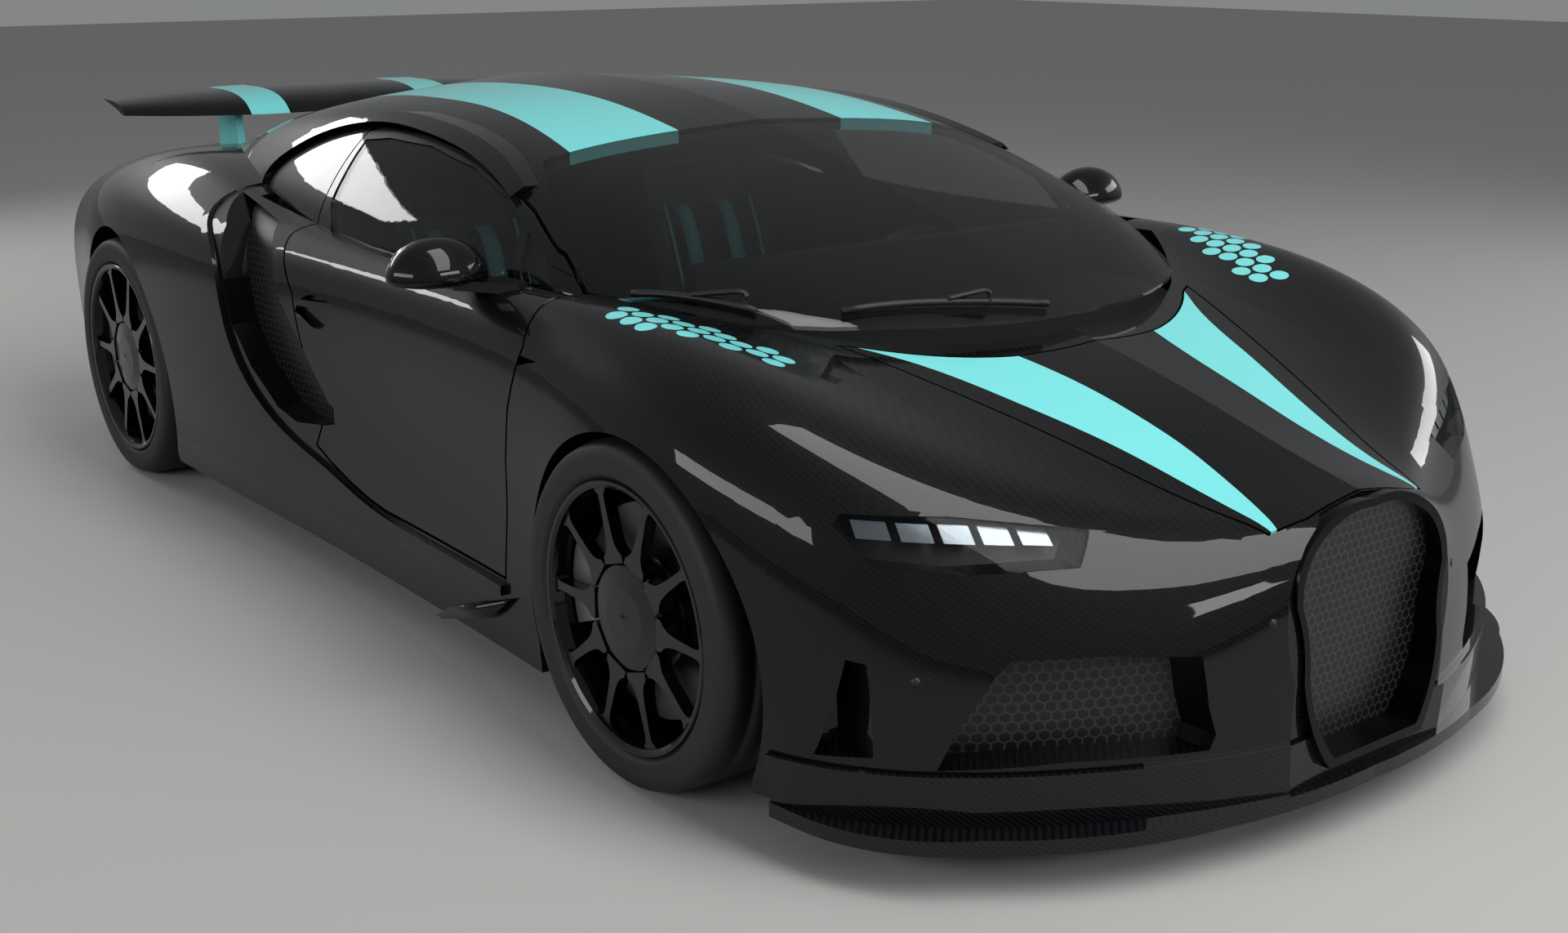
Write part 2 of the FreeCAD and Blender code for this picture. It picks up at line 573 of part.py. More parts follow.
inner_ring = without(door_prism, door_core_prism)
door_panel = without(
    common(hull, door_prism, box((-FAR, FAR), (INNER, FAR), (0, FAR))),
    common(inner_ring, moved(hull, y=-8)),
    common(intake_prism, plan_prism([
        (FRONT - 1230, 1000), (FRONT - 1600, 860), (FRONT - 1600, FAR), (FRONT - 1230, FAR)], 0, FAR)),
)
frame_skin = without(common(canopy, door_prism), moved(canopy, y=-34), window_opening)
bar = without(common(canopy, bar_prism, door_prism), moved(canopy, y=-20))
door_frame = without(
    frame_skin.fuse(bar), common(inner_ring, moved(canopy, y=-8)),
    box((-FAR, FAR), (0, FAR), (0, 830)), pillar_room,
)
door = largest(without(joined(door_panel, door_frame), pillar_room))
handle_pocket = without(side_prism([
    (FRONT - 1476, 688), (FRONT - 1430, 728, FRONT - 1388, 738), (FRONT - 1330, 738, FRONT - 1291, 719),
    (FRONT - 1330, 672, FRONT - 1395, 660)], 900, FAR), moved(hull, y=-16))
handle = without(common(hull, side_prism([
    (FRONT - 1460, 702), (FRONT - 1460, 718), (FRONT - 1280, 732), (FRONT - 1280, 716)], 900, FAR)),
    moved(hull, y=-7))
door = largest(joined(without(door, handle_pocket), handle, *hinge_arms))
glass = without(
    common(moved(canopy, y=-4), window_prism), moved(canopy, y=-4 - size("glass_width")), door, pillar_room
)
panes = Part.makeCompound([pane for pane in glass.Solids if pane.Volume > 20000])
piece("door_left", door)
piece("door_right", mirrored(door))
piece("door_glass_left", panes)
piece("door_glass_right", mirrored(panes))

# Rear bodywork. The side panels lie inside the sweeping line and hold the intakes.
flank = without(
    common(body, joined(
        box((BULKHEAD, FRONT - 1000), (INNER, FAR), (FLOOR, FAR)),
        box((TAIL + 150, BULKHEAD), (DECK_HALF, FAR), (FLOOR, FAR)),
    )),
    door_space, rear_well, cabin_space, common(canopy, box((BULKHEAD, 0), (0, FAR), (0, FAR))),
    box((REAR + 300, FRONT), (INNER - SEAM, FAR), (0, SILL + SEAM)),
)
intake_space = without(intake_prism, moved(hull, y=-85))
side_panel = largest(without(common(flank, sweep_inside), intake_space))
piece("side_panels", pair(side_panel))
piece("rear_quarters", pair(largest(without(flank, sweep_outside))))
grille_plate = without(
    common(moved(hull, y=-70), side_prism_grown(INTAKE_LINE, -SEAM, INNER, FAR)),
    moved(hull, y=-82), door_space,
)
piece("side_grilles", pair(largest(grille_plate)))
band = curve_prism(SWEEP_LINE, moved_line(SWEEP_LINE, 22), 500, FAR)
grown = half_solid(hull_poles(12)).fuse(half_solid(canopy_poles(12)))
trim = without(common(grown, band), body.fuse([moved(hull, y=SEAM), moved(canopy, y=SEAM)]))
piece("sweep_trims", pair(largest(trim)))
deck = without(
    common(body, box((TAIL + 150, BULKHEAD), (0, DECK_HALF), (600, FAR))), moved(body, z=-30),
    box((REAR - 50, REAR + 560), (0, 230), (0, FAR)),
)
piece("rear_deck", both_sides(largest(deck)))
PLATE_HOLES = 200
OUTLET_LINE = [(290, 380), (640, 400), (700, 560), (660, 640), (270, 640)]
tail = common(hull, box((TAIL, TAIL + 150), (0, FAR), (330, FAR)))
tail = without(
    tail, box((TAIL, TAIL + 90), (0, 800), (690, 730)), cylinder(3, (TAIL, PLATE_HOLES, 430), (1, 0, 0), 80),
    front_prism(OUTLET_LINE, TAIL, TAIL + 125),
)
piece("tail_panel", both_sides(tail))
piece("outlet_grilles", pair(front_prism(OUTLET_LINE, TAIL + 117, TAIL + 125 - SEAM)))
piece("tail_light", both_sides(box((TAIL + 66, TAIL + 90), (0, 800), (690, 730))))
PIPES = [(y, 285) for y in (-146, -48, 48, 146)]
STRAKES = (-496, -248, 0, 248, 496)
strake_line = [
    (TAIL + 500, FLOOR + 8), (TAIL + 110, FLOOR + 14), (TAIL + 20, 236), (TAIL + 30, 262), (TAIL + 480, 150)]
diffuser = both_sides(side_prism([
    (TAIL + 520, FLOOR), (TAIL, 240), (TAIL, 330 - SEAM), (TAIL + 520, 330 - SEAM)], 0, DECK_HALF))
diffuser = without(
    joined(diffuser, *[side_prism(strake_line, y - 5, y + 5) for y in STRAKES]),
    cylinder(9, (TAIL, 420, 285), (1, 0, 0), 60),
    *[cylinder(40 + SEAM, (TAIL, y, z), (1, 0, 0), 160) for y, z in PIPES],
)
piece("diffuser", diffuser)
piece("exhaust_tips", Part.makeCompound([
    without(cylinder(40, (TAIL + 4, y, z), (1, 0, 0), 156), cylinder(35, (TAIL + 4, y, z), (1, 0, 0), 140))
    for y, z in PIPES]))

# Sills below the doors.
skirt = common(hull, box((REAR + 350, FRONT - 350), (INNER, FAR), (FLOOR, SILL)))
skirt = without(skirt, front_well, rear_well)
piece("side_skirts", pair(largest(skirt)))
sill = without(
    common(hull, box((FRONT - 1000, FRONT - 489 - DOOR_GAP), (INNER, FAR), (SILL + SEAM, 274))), door_space
)
piece("sills", pair(largest(sill)))

# Cabin tub: floor, tunnel, sills and bulkheads, with the front frame and engine cradle.
under_all = joined(
    common(moved(hull, z=-45), box((TAIL, NOSE), (0, INNER - 2), (FLOOR, FAR))), moved(canopy, z=-31))
tub = joined(
    box((BULKHEAD, FRONT - 380), (0, WELL - 10), (FLOOR, FLOOR + 50)),
    box((BULKHEAD, FRONT - 425), (0, INNER - SEAM), (FLOOR, FLOOR + 50)),
    box((BULKHEAD, FRONT - 425), (680, INNER - SEAM), (FLOOR, SILL)),
    box((BULKHEAD, FRONT - 425), (680, INNER - 7), (FLOOR, 300)),
    box((BULKHEAD, FRONT - 380), (0, 110), (FLOOR, 380)),
    common(box((FRONT - 425, FRONT - 380), (0, WELL - 10), (FLOOR, 900)), under_all),
    common(box((BULKHEAD, BULKHEAD + 40), (0, INNER - 7), (FLOOR, 1300)), under_all),
)
pads = [cylinder(35, (x, 760, FLOOR), (0, 0, 1), 4) for x in (FRONT - 560, BULKHEAD + 90)]
piece("tub", both_sides(without(tub, *pads)))
front_frame = common(box((FRONT - 380, NOSE - 348), (0, WELL - 10), (FLOOR, 900)), moved(hull, z=-45))
front_frame = without(front_frame, box((FRONT + 80, FRONT + 420), (0, 330), (300, 900)), lamp_pocket)
piece("front_frame", both_sides(front_frame))
piece("engine_cradle", both_sides(joined(
    box((TAIL + 530, BULKHEAD), (0, DECK_HALF - 5), (FLOOR, FLOOR + 60)),
)))
piece("engine", both_sides(box((REAR + 20, REAR + 730), (0, 380), (FLOOR + 60, 800))))
seat = joined(
    side_prism(lifted([
        (FRONT - 1850, FLOOR + 50 + SEAM), (FRONT - 1250, FLOOR + 50 + SEAM), (FRONT - 1195, 320),
        (FRONT - 1560, 270), (FRONT - 1700, 600), (FRONT - 1770, 930), (FRONT - 1850, 930),
    ]), 235, 565),
    *[side_prism(lifted([
        (FRONT - 1850, FLOOR + 50 + SEAM), (FRONT - 1250, FLOOR + 50 + SEAM), (FRONT - 1200, 370),
        (FRONT - 1500, 350), (FRONT - 1600, 560), (FRONT - 1690, 790), (FRONT - 1790, 830),
        (FRONT - 1850, 830),
    ]), low, low + 60) for low in (175, 565)],
)
slots = [box((FRONT - 1900, FRONT - 1600), (y, y + 70), (raised(770), raised(800))) for y in (285, 445)]
piece("seats", pair(without(seat, *slots)))
dash = side_prism([
    (FRONT - 700, 560), (FRONT - 725, 650), (FRONT - 700, 740), (FRONT - 600, 792), (FRONT - 425, 800),
    (FRONT - 425, 560)], 0, 700)
column = Vector(FRONT - 790, 360, 690)
column_turn = Rotation(Vector(0, -1, 0), 68)
toward_dash = column_turn.multVec(Vector(0, 0, -1))
dash = both_sides(without(common(dash, under_all), front_well))
column_bore = Part.makeCylinder(22 + SEAM, 150, column + toward_dash * 20, toward_dash)
piece("dashboard", without(dash, column_bore))

# Wheels. Each body's own Y is the spin axis, and its Placement puts it at the wheel's centre.
FRONT_AXLE = "(Sizes.rear_overhang + Sizes.wheelbase - Sizes.front_overhang) / 2"
REAR_AXLE = "(Sizes.rear_overhang - Sizes.wheelbase - Sizes.front_overhang) / 2"


def origin_part(holder, role):
    return next(item for item in holder.Origin.OriginFeatures if item.Role == role)


def new_body(name, at, turned=False):
    """A PartDesign body placed by expressions; turned faces it to the car's right."""
    holder = doc.addObject("PartDesign::Body", name)
    holder.Label = name
    if turned:
        holder.Placement = Placement(Vector(), Rotation(Vector(0, 0, 1), 180))
    for axis, expression in zip("xyz", at):
        holder.setExpression(f"Placement.Base.{axis}", expression)
    PIECES.append(holder)
    return holder


def profile(holder, role, points, name, bound=()):
    """A closed sketch on one of the body's planes. Bound is a list of (corner, axis, expression)."""
    item = holder.newObject("Sketcher::SketchObject", name)
    item.AttachmentSupport = [(origin_part(holder, role), "")]
    item.MapMode = "FlatFace"
    count = len(points)
    for i, point in enumerate(points):
        item.addGeometry(Part.LineSegment(Vector(*point, 0), Vector(*points[(i + 1) % count], 0)))
    for i in range(count):
        item.addConstraint(Sketcher.Constraint("Coincident", i, 2, (i + 1) % count, 1))
    for i, point in enumerate(points):
        for axis, kind in enumerate(("DistanceX", "DistanceY")):
            item.addConstraint(Sketcher.Constraint(kind, -1, 1, i, 1, point[axis]))
    for corner, axis, expression in bound:
        item.setExpression(f"Constraints[{count + 2 * corner + axis}]", expression)
    return item


def revolved(holder, points, name, bound=()):
    """A ring about the body's own Y; points are (radius, along Y)."""
    item = holder.newObject("PartDesign::Revolution", name)
    item.Profile = profile(holder, "XY_Plane", points, name + "_profile", bound)
    item.ReferenceAxis = (origin_part(holder, "Y_Axis"), [""])
    item.Angle = 360
    holder.Tip = item
    return item


# Half the width of a spoke at each radius, from its broad root to the rim.
SPOKE = [(104, 32), (118, 31), (128, 21), (142, 14), (165, 10.5)]
CORNERS = [
    ("front_left", FRONT_AXLE, "Sizes.front_track / 2", "front", False),
    ("front_right", FRONT_AXLE, "-Sizes.front_track / 2", "front", True),
    ("rear_left", REAR_AXLE, "(Sizes.front_track - Sizes.rear_track_step) / 2", "rear", False),
    ("rear_right", REAR_AXLE, "-(Sizes.front_track - Sizes.rear_track_step) / 2", "rear", True),
]
for corner, along, across, axle, turned in CORNERS:
    radius, half, rim, disc = TYRE[axle], HALF_TYRE[axle], RIM[axle], DISC[axle]
    flange = f"Sizes.{axle}_tyre_radius - Sizes.{axle}_sidewall"
    centre = (along, across, f"Sizes.{axle}_tyre_radius")
    face = half - 18

    tyre = new_body(f"tyre_{corner}", centre, turned)
    seat_radius = rim - 12
    revolved(tyre, [
        (seat_radius, -half + 24), (rim + 4, -half + 12), (rim + 22, -half), (radius - 34, -half),
        (radius - 8, -half + 12), (radius, -half + 34), (radius, half - 34), (radius - 8, half - 12),
        (radius - 34, half), (rim + 22, half), (rim + 4, half - 12), (seat_radius, half - 24),
    ], f"tyre_ring_{corner}", [
        (5, 0, f"Sizes.{axle}_tyre_radius"), (6, 0, f"Sizes.{axle}_tyre_radius"),
    ])

    wheel = new_body(f"rim_{corner}", centre, turned)
    revolved(wheel, [
        (seat_radius - SEAM, -half + 14), (rim, -half + 14), (rim, -half + 6), (seat_radius - 10, -half + 6),
        (seat_radius - 12, half - 34), (rim - 16, half - 10), (rim - 9, half - 5), (rim - 3, half - 5),
        (rim, half - 9), (rim, half - 14), (seat_radius - SEAM, half - 14),
    ], f"barrel_{corner}", [(i, 0, flange) for i in (1, 2, 8, 9)])
    revolved(wheel, [
        (0, face - 46), (84, face - 46), (112, face - 40), (112, face - 10), (100, face - 1),
        (60, face + 5), (0, face + 7),
    ], f"hub_{corner}")
    spoke = wheel.newObject("PartDesign::Pad", f"spoke_{corner}")
    reach = seat_radius - 5
    edge = SPOKE + [(reach - 29, 8.5), (reach - 13, 10), (reach, 22)]
    spoke.Profile = profile(
        wheel, "XZ_Plane", [(r, -w) for r, w in edge] + [(r, w) for r, w in reversed(edge)],
        f"spoke_profile_{corner}")
    spoke.Profile[0].AttachmentOffset = Placement(Vector(0, 0, -(face - 24)), Rotation())
    spoke.Length = 26
    spoke.Reversed = True
    pattern = wheel.newObject("PartDesign::PolarPattern", f"spokes_{corner}")
    pattern.Originals = [spoke]
    pattern.Axis = (origin_part(wheel, "Y_Axis"), [""])
    pattern.Angle = 360
    pattern.Occurrences = 10
    wheel.Tip = pattern

    brake = new_body(f"brake_disc_{corner}", centre, turned)
    revolved(brake, [
        (46, face - 58), (46, face - 46 - SEAM), (84, face - 46 - SEAM), (110, face - 60), (disc, face - 60),
        (disc, face - 98), (100, face - 98), (78, face - 62),
    ], f"disc_ring_{corner}", [
        (4, 0, f"{flange} - Sizes.{axle}_caliper_room"), (5, 0, f"{flange} - Sizes.{axle}_caliper_room"),
    ])

# Knuckles, wishbones and brake calipers.
KINGPIN = HALF_TYRE["front"] - 116


def carrier(axle):
    """A wheel's upright with its bearing stub and brake caliper, left side, about the wheel's centre."""
    face, disc, rim = HALF_TYRE[axle] - 18, DISC[axle], RIM[axle]
    flange = face - 98
    upright = joined(
        cylinder(70, (0, flange - 48, 0), (0, 1, 0), 40),
        cylinder(46 - SEAM, (0, flange - 20, 0), (0, 1, 0), 66),
        cylinder(20, (0, flange - KINGPIN, -138 + SEAM), (0, 0, 1), 256 - 2 * SEAM),
    )
    block = without(
        cylinder(rim - 30, (0, flange - 34, 0), (0, 1, 0), 100),
        cylinder(disc - 82, (0, -300, 0), (0, 1, 0), 900),
        cylinder(disc + 6, (0, flange - 6, 0), (0, 1, 0), size("disc_width") + 12),
    )
    wedge = side_prism([(0, 0), (-400, -150), (-400, 150)], -400, 600)
    bracket = box((-150, 0), (flange - 34, flange - 14), (-40, 40))
    caliper = common(block, wedge)
    return joined(upright, bracket, caliper)


def wishbones(axle, half_track, inner):
    """Upper and lower arms and the spring strut, left side, about the wheel's centre."""
    flange = HALF_TYRE[axle] - 116
    arms = []
    root, ball = inner - half_track + SEAM, flange - KINGPIN
    for height in (-150, 130):
        arm = plan_prism([(-108, root), (108, root), (20, ball), (-20, ball)], height - 12, height + 12)
        gap = plan_prism([
            (-76, root + 22), (76, root + 22), (0, ball - 70)
        ], height - 20, height + 20)
        eye = cylinder(22, (0, ball, height - 12), (0, 0, 1), 24)
        arms.append(joined(without(arm, gap), eye))
    return arms


front_carrier = carrier("front")
piece("front_knuckle_left", moved(front_carrier, FRONT, FRONT_Y, TYRE["front"]))
piece("front_knuckle_right", moved(mirrored(front_carrier), FRONT, -FRONT_Y, TYRE["front"]))
piece("rear_knuckles", pair(moved(carrier("rear"), REAR, REAR_Y, TYRE["rear"])))
for axle, x, y, inner in (("front", FRONT, FRONT_Y, WELL), ("rear", REAR, REAR_Y, REAR_WELL)):
    solids = []
    for arm in wishbones(axle, y, inner):
        left = moved(arm, x, y, TYRE[axle])
        solids += [left, mirrored(left)]
    piece(f"{axle}_wishbones", Part.makeCompound(solids))

# Rear wing on its two uprights.
def wing_section(x, y, z, chord, lift):
    """An aerofoil outline facing along Y, nose at x."""
    upper = [(0, 0), (0.12, 0.075), (0.35, 0.1), (0.7, 0.06), (1, 0.006)]
    lower = [(1, -0.006), (0.6, 0.0), (0.3, -0.01), (0.1, -0.022), (0, 0)]
    points = lambda rows: [Vector(x - a * chord, y, z + a * lift + b * chord) for a, b in rows]
    top, under = Part.BSplineCurve(), Part.BSplineCurve()
    top.interpolate(points(upper))
    under.interpolate(points(lower))
    tail_edge = Part.makeLine(top.EndPoint, under.StartPoint)
    return Part.Wire([top.toShape(), tail_edge, under.toShape()])


wing = Part.makeLoft([
    wing_section(REAR - 440, 0, 1000, 360, 62), wing_section(REAR - 432, 420, 1000, 350, 62),
    wing_section(REAR - 500, 762, 1012, 190, 40),
], True, False)
piece("rear_wing", both_sides(wing))
upright = side_prism([
    (REAR - 500, 780), (REAR - 680, 780), (REAR - 650, 1120), (REAR - 530, 1120)
], 372, 396)
upright = without(upright, moved(body, z=SEAM), moved(wing, z=-SEAM))
piece("wing_uprights", pair(min(upright.Solids, key=lambda s: s.CenterOfMass.z)))

# Mirrors on the doors: a dome over a shallow underside, on a flat arm.
def scaled_ball(across, wide, high):
    matrix = FreeCAD.Matrix()
    matrix.A11, matrix.A22, matrix.A33 = across, wide, high
    return Part.makeSphere(1).transformGeometry(matrix)


MIRROR = Vector(FRONT - 722, 980, 880)
upper = common(scaled_ball(78, 112, 82), box((-200, 200), (-200, 200), (0, 200)))
lower = common(scaled_ball(78, 112, 22), box((-200, 200), (-200, 200), (-200, 0)))
shell = moved(joined(upper, lower), MIRROR.x, MIRROR.y, MIRROR.z)
arm = plan_prism([
    (FRONT - 756, 960), (FRONT - 690, 960), (FRONT - 560, 880), (FRONT - 560, 850), (FRONT - 660, 850),
], 852, 874)
mirror = largest(without(joined(shell, arm), moved(body, y=SEAM, z=SEAM)))
piece("mirror_left", mirror)
piece("mirror_right", mirrored(mirror))

# Steering wheel, on the left of the cabin.
steering = joined(
    Part.makeCylinder(22, 160, Vector(0, 0, -160)),
    Part.makeTorus(170, 15), Part.makeCylinder(48, 26, Vector(0, 0, -13)),
    box((-170, 170), (-16, 16), (-7, 7)), box((-16, 16), (-170, 0), (-7, 7)),
)
steering.Placement = Placement(column, column_turn.multiply(Rotation(Vector(0, 0, 1), 90)))
piece("steering_wheel", steering)

doc.recompute()
for item in doc.Objects:
    if "Invalid" in item.State or "Error" in item.State:
        raise RuntimeError(f"{item.Label} is {item.State}")
for item in PIECES:
    if item.Shape.isNull() or not item.Shape.isValid():
        raise RuntimeError(f"{item.Label} has no sound shape")

os.makedirs("parts", exist_ok=True)
for item in PIECES:
    item.Shape.exportStep(f"parts/{item.Label}.step")
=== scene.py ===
"""Looks of a mid-engined hypercar in gloss black over carbon cloth, with pale turquoise stripes.

Metres. +X is forward, +Y is the car's left, +Z is up, and the ground is z = 0.
"""

import math

import bpy
from mathutils import Matrix, Vector


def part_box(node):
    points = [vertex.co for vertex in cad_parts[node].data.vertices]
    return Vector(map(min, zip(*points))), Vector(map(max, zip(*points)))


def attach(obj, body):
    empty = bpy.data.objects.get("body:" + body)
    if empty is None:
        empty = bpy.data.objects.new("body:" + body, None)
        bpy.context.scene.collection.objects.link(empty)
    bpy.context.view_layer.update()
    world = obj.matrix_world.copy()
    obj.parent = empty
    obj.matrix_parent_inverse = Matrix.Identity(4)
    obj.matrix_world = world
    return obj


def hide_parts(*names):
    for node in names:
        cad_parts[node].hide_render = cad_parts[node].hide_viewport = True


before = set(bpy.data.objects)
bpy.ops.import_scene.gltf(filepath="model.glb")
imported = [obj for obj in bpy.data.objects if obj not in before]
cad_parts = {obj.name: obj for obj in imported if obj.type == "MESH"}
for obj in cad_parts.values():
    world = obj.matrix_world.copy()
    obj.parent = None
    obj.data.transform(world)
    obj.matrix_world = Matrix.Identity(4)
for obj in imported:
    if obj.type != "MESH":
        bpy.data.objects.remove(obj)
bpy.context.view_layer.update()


# Bodywork. The panels are carbon cloth in resin, laid up in moulds, then clear-coated and polished.
# The cloth is a twill, which the coat lets through as a faint diagonal check on black.
# The stripes are pale turquoise paint under the same coat.
def linear(colour):
    """An sRGB hex colour as the linear colour a shader takes."""
    parts = [int(colour[i:i + 2], 16) / 255 for i in (1, 3, 5)]
    return [c / 12.92 if c < 0.04045 else ((c + 0.055) / 1.055) ** 2.4 for c in parts] + [1.0]


def add(tree, kind, inputs=(), output=0, **settings):
    """Adds one shader node and gives one of its outputs. inputs maps sockets to values or links."""
    made = tree.nodes.new("ShaderNode" + kind)
    for name, value in settings.items():
        setattr(made, name, value)
    for key, value in dict(inputs).items():
        if isinstance(value, bpy.types.NodeSocket):
            tree.links.new(value, made.inputs[key])
        else:
            made.inputs[key].default_value = value
    return made.outputs[output]


def material_of(name, sockets, pattern=None):
    """A material with these shader sockets, and those that pattern(tree) draws with nodes."""
    material = bpy.data.materials.new(name)
    material.use_nodes = True
    tree = material.node_tree
    shader = tree.nodes["Principled BSDF"]
    for key, value in (sockets | (pattern(tree) if pattern else {})).items():
        if isinstance(value, bpy.types.NodeSocket):
            tree.links.new(value, shader.inputs[key])
        else:
            shader.inputs[key].default_value = value
    return material


def clothe(material, *names):
    """Gives CAD nodes their material."""
    for name in names:
        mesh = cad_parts[name].data
        mesh.materials.clear()
        mesh.materials.append(material)


def both(*names):
    """The node names with _left and _right."""
    return [f"{name}_{side}" for name in names for side in ("left", "right")]


def place(tree):
    """The place on the car, as x, y and z."""
    return add(tree, "SeparateXYZ", {0: add(tree, "TexCoord", output="Object")}).node.outputs


def twill(tree, tow):
    """1 where the warp lies over a 2/2 twill of this tow width, 0 where the weft does."""
    x, y, z = place(tree)
    steps = []
    for across in (x, y):
        along = add(tree, "Math", {0: across, 1: z}, operation="ADD")
        cells = add(tree, "Math", {0: along, 1: tow}, operation="DIVIDE")
        steps.append(add(tree, "Math", {0: cells}, operation="FLOOR"))
    diagonal = add(tree, "Math", {0: steps[0], 1: steps[1]}, operation="ADD")
    fourth = add(tree, "Math", {0: diagonal, 1: 4.0}, operation="FLOORED_MODULO")
    return add(tree, "Math", {0: fourth, 1: 1.5}, operation="LESS_THAN")


def edge(tree, x, points):
    """How far from the centre plane a stripe's edge runs at each x, through (x, far) points."""
    low, high = points[0][0], points[-1][0]
    along = add(tree, "MapRange", {"Value": x, "From Min": low, "From Max": high})
    distance = add(tree, "FloatCurve", {"Value": along})
    curve = distance.node.mapping.curves[0]
    curve.points[0].location = (0, points[0][1])
    curve.points[1].location = (1, points[-1][1])
    for step, value in points[1:-1]:
        curve.points.new((step - low) / (high - low), value)
    distance.node.mapping.update()
    return distance


def band(tree, x, y, inner, outer):
    """1 between the inner and outer edges, on both sides of the car, and 0 elsewhere."""
    away = add(tree, "Math", {0: y}, operation="ABSOLUTE")
    low, high = max(inner[0][0], outer[0][0]), min(inner[-1][0], outer[-1][0])
    tests = [
        add(tree, "Math", {0: away, 1: edge(tree, x, inner)}, operation="GREATER_THAN"),
        add(tree, "Math", {0: away, 1: edge(tree, x, outer)}, operation="LESS_THAN"),
        add(tree, "Math", {0: x, 1: low}, operation="GREATER_THAN"),
        add(tree, "Math", {0: x, 1: high}, operation="LESS_THAN"),
    ]
    while len(tests) > 1:
        tests.append(add(tree, "Math", {0: tests.pop(0), 1: tests.pop(0)}, operation="MULTIPLY"))
    return tests[0]


TURQUOISE = linear("#7ADDDC")
BLACK_WARP = linear("#0A0B0D")
BLACK_WEFT = linear("#030304")
# The real tow is 2 mm wide. It is drawn as 5 mm, which is the finest that shows.
TOW = 0.005
# Polished clear lacquer: sharp, bright reflections over a base that gives almost none itself.
LACQUER = {
    "Roughness": 0.4, "Specular IOR Level": 0.05, "Coat Weight": 0.65, "Coat Roughness": 0.02,
    "Coat IOR": 1.5,
}


def bodywork(name, mark=None):
    """Clear-coated carbon cloth. mark(tree) is 1 where it has turquoise paint instead."""
    def pattern(tree):
        tows = {0: twill(tree, TOW), 6: BLACK_WEFT, 7: BLACK_WARP}
        cloth = add(tree, "Mix", tows, 2, data_type="RGBA")
        if not mark:
            return {"Base Color": cloth}
        paint = {0: mark(tree), 6: cloth, 7: TURQUOISE}
        return {"Base Color": add(tree, "Mix", paint, 2, data_type="RGBA")}
    return material_of(name, LACQUER, pattern)


clothe(
    bodywork("clear_coated_carbon_cloth"), "cowl", "front_bumper", "side_panels", "rear_quarters",
    "sweep_trims", "tail_panel", *both("door", "mirror"),
)

# The stripes on the bonnet start wide at the screen and meet the grille in a point.
BONNET_INNER = [
    (1.30, 0.30), (1.40, 0.245), (1.517, 0.200), (1.827, 0.158), (2.0, 0.165), (2.19, 0.212),
]
BONNET_OUTER = [
    (1.30, 0.52), (1.362, 0.481), (1.475, 0.411), (1.667, 0.336), (1.938, 0.250), (2.19, 0.214),
]


def bonnet_stripes(tree):
    x, y, _ = place(tree)
    return band(tree, x, y, BONNET_INNER, BONNET_OUTER)


clothe(bodywork("striped_carbon_bonnet", bonnet_stripes), "bonnet")

# Those on the roof run back from the screen and narrow over the rear deck.
ROOF_INNER = [(-1.30, 0.235), (-0.40, 0.240), (0.10, 0.243), (0.46, 0.249)]
ROOF_OUTER = [(-1.30, 0.36), (-0.41, 0.475), (0.0, 0.50), (0.46, 0.556)]


def roof_stripes(tree):
    x, y, _ = place(tree)
    return band(tree, x, y, ROOF_INNER, ROOF_OUTER)


clothe(bodywork("striped_carbon_roof", roof_stripes), "roof", "rear_deck")

# The dots behind the front wheels are 43 mm across, 50 mm apart.
DOT_PITCH, DOT_RADIUS = 0.050, 0.0215
DOT_INNER = [(1.07, 0.815), (1.2, 0.745), (1.33, 0.695), (1.47, 0.700)]
DOT_OUTER = [(1.07, 0.880), (1.2, 0.875), (1.33, 0.800), (1.47, 0.745)]


def fender_dots(tree):
    """Discs of one size in a honeycomb, kept where their centres lie in a tapered band."""
    x, y, _ = place(tree)
    away = add(tree, "Math", {0: y}, operation="ABSOLUTE")
    flat = add(tree, "CombineXYZ", {0: x, 1: away})
    cell = Vector((DOT_PITCH, DOT_PITCH * math.sqrt(3), 1))
    grid = add(tree, "VectorMath", {0: flat, 1: cell}, operation="DIVIDE")
    dots = []
    for shift in (0.0, 0.5):
        moved = add(tree, "VectorMath", {0: grid, 1: (shift, shift, 0)}, operation="ADD")
        part = add(tree, "VectorMath", {0: moved}, operation="FRACTION")
        middle = add(tree, "VectorMath", {0: part, 1: (0.5, 0.5, 0)}, operation="SUBTRACT")
        offset = add(tree, "VectorMath", {0: middle, 1: cell}, operation="MULTIPLY")
        centre = add(tree, "VectorMath", {0: flat, 1: offset}, operation="SUBTRACT")
        at = add(tree, "SeparateXYZ", {0: centre}).node.outputs
        far = add(tree, "VectorMath", {0: offset}, "Value", operation="LENGTH")
        disc = add(tree, "Math", {0: far, 1: DOT_RADIUS}, operation="LESS_THAN")
        kept = band(tree, at[0], at[1], DOT_INNER, DOT_OUTER)
        dots.append(add(tree, "Math", {0: disc, 1: kept}, operation="MULTIPLY"))
    return add(tree, "Math", {0: dots[0], 1: dots[1]}, operation="MAXIMUM")


clothe(bodywork("dotted_carbon_wings", fender_dots), "front_wings")


# Rear wing and its uprights. The blade is carbon with two stripes over it.
# Its underside and the uprights are painted turquoise.
WING_INNER = [(-2.4, 0.245), (-1.3, 0.245)]
WING_OUTER = [(-2.4, 0.375), (-1.3, 0.375)]
# A face counts as the underside where its normal's height is less than this.
FACES_DOWN = -0.1


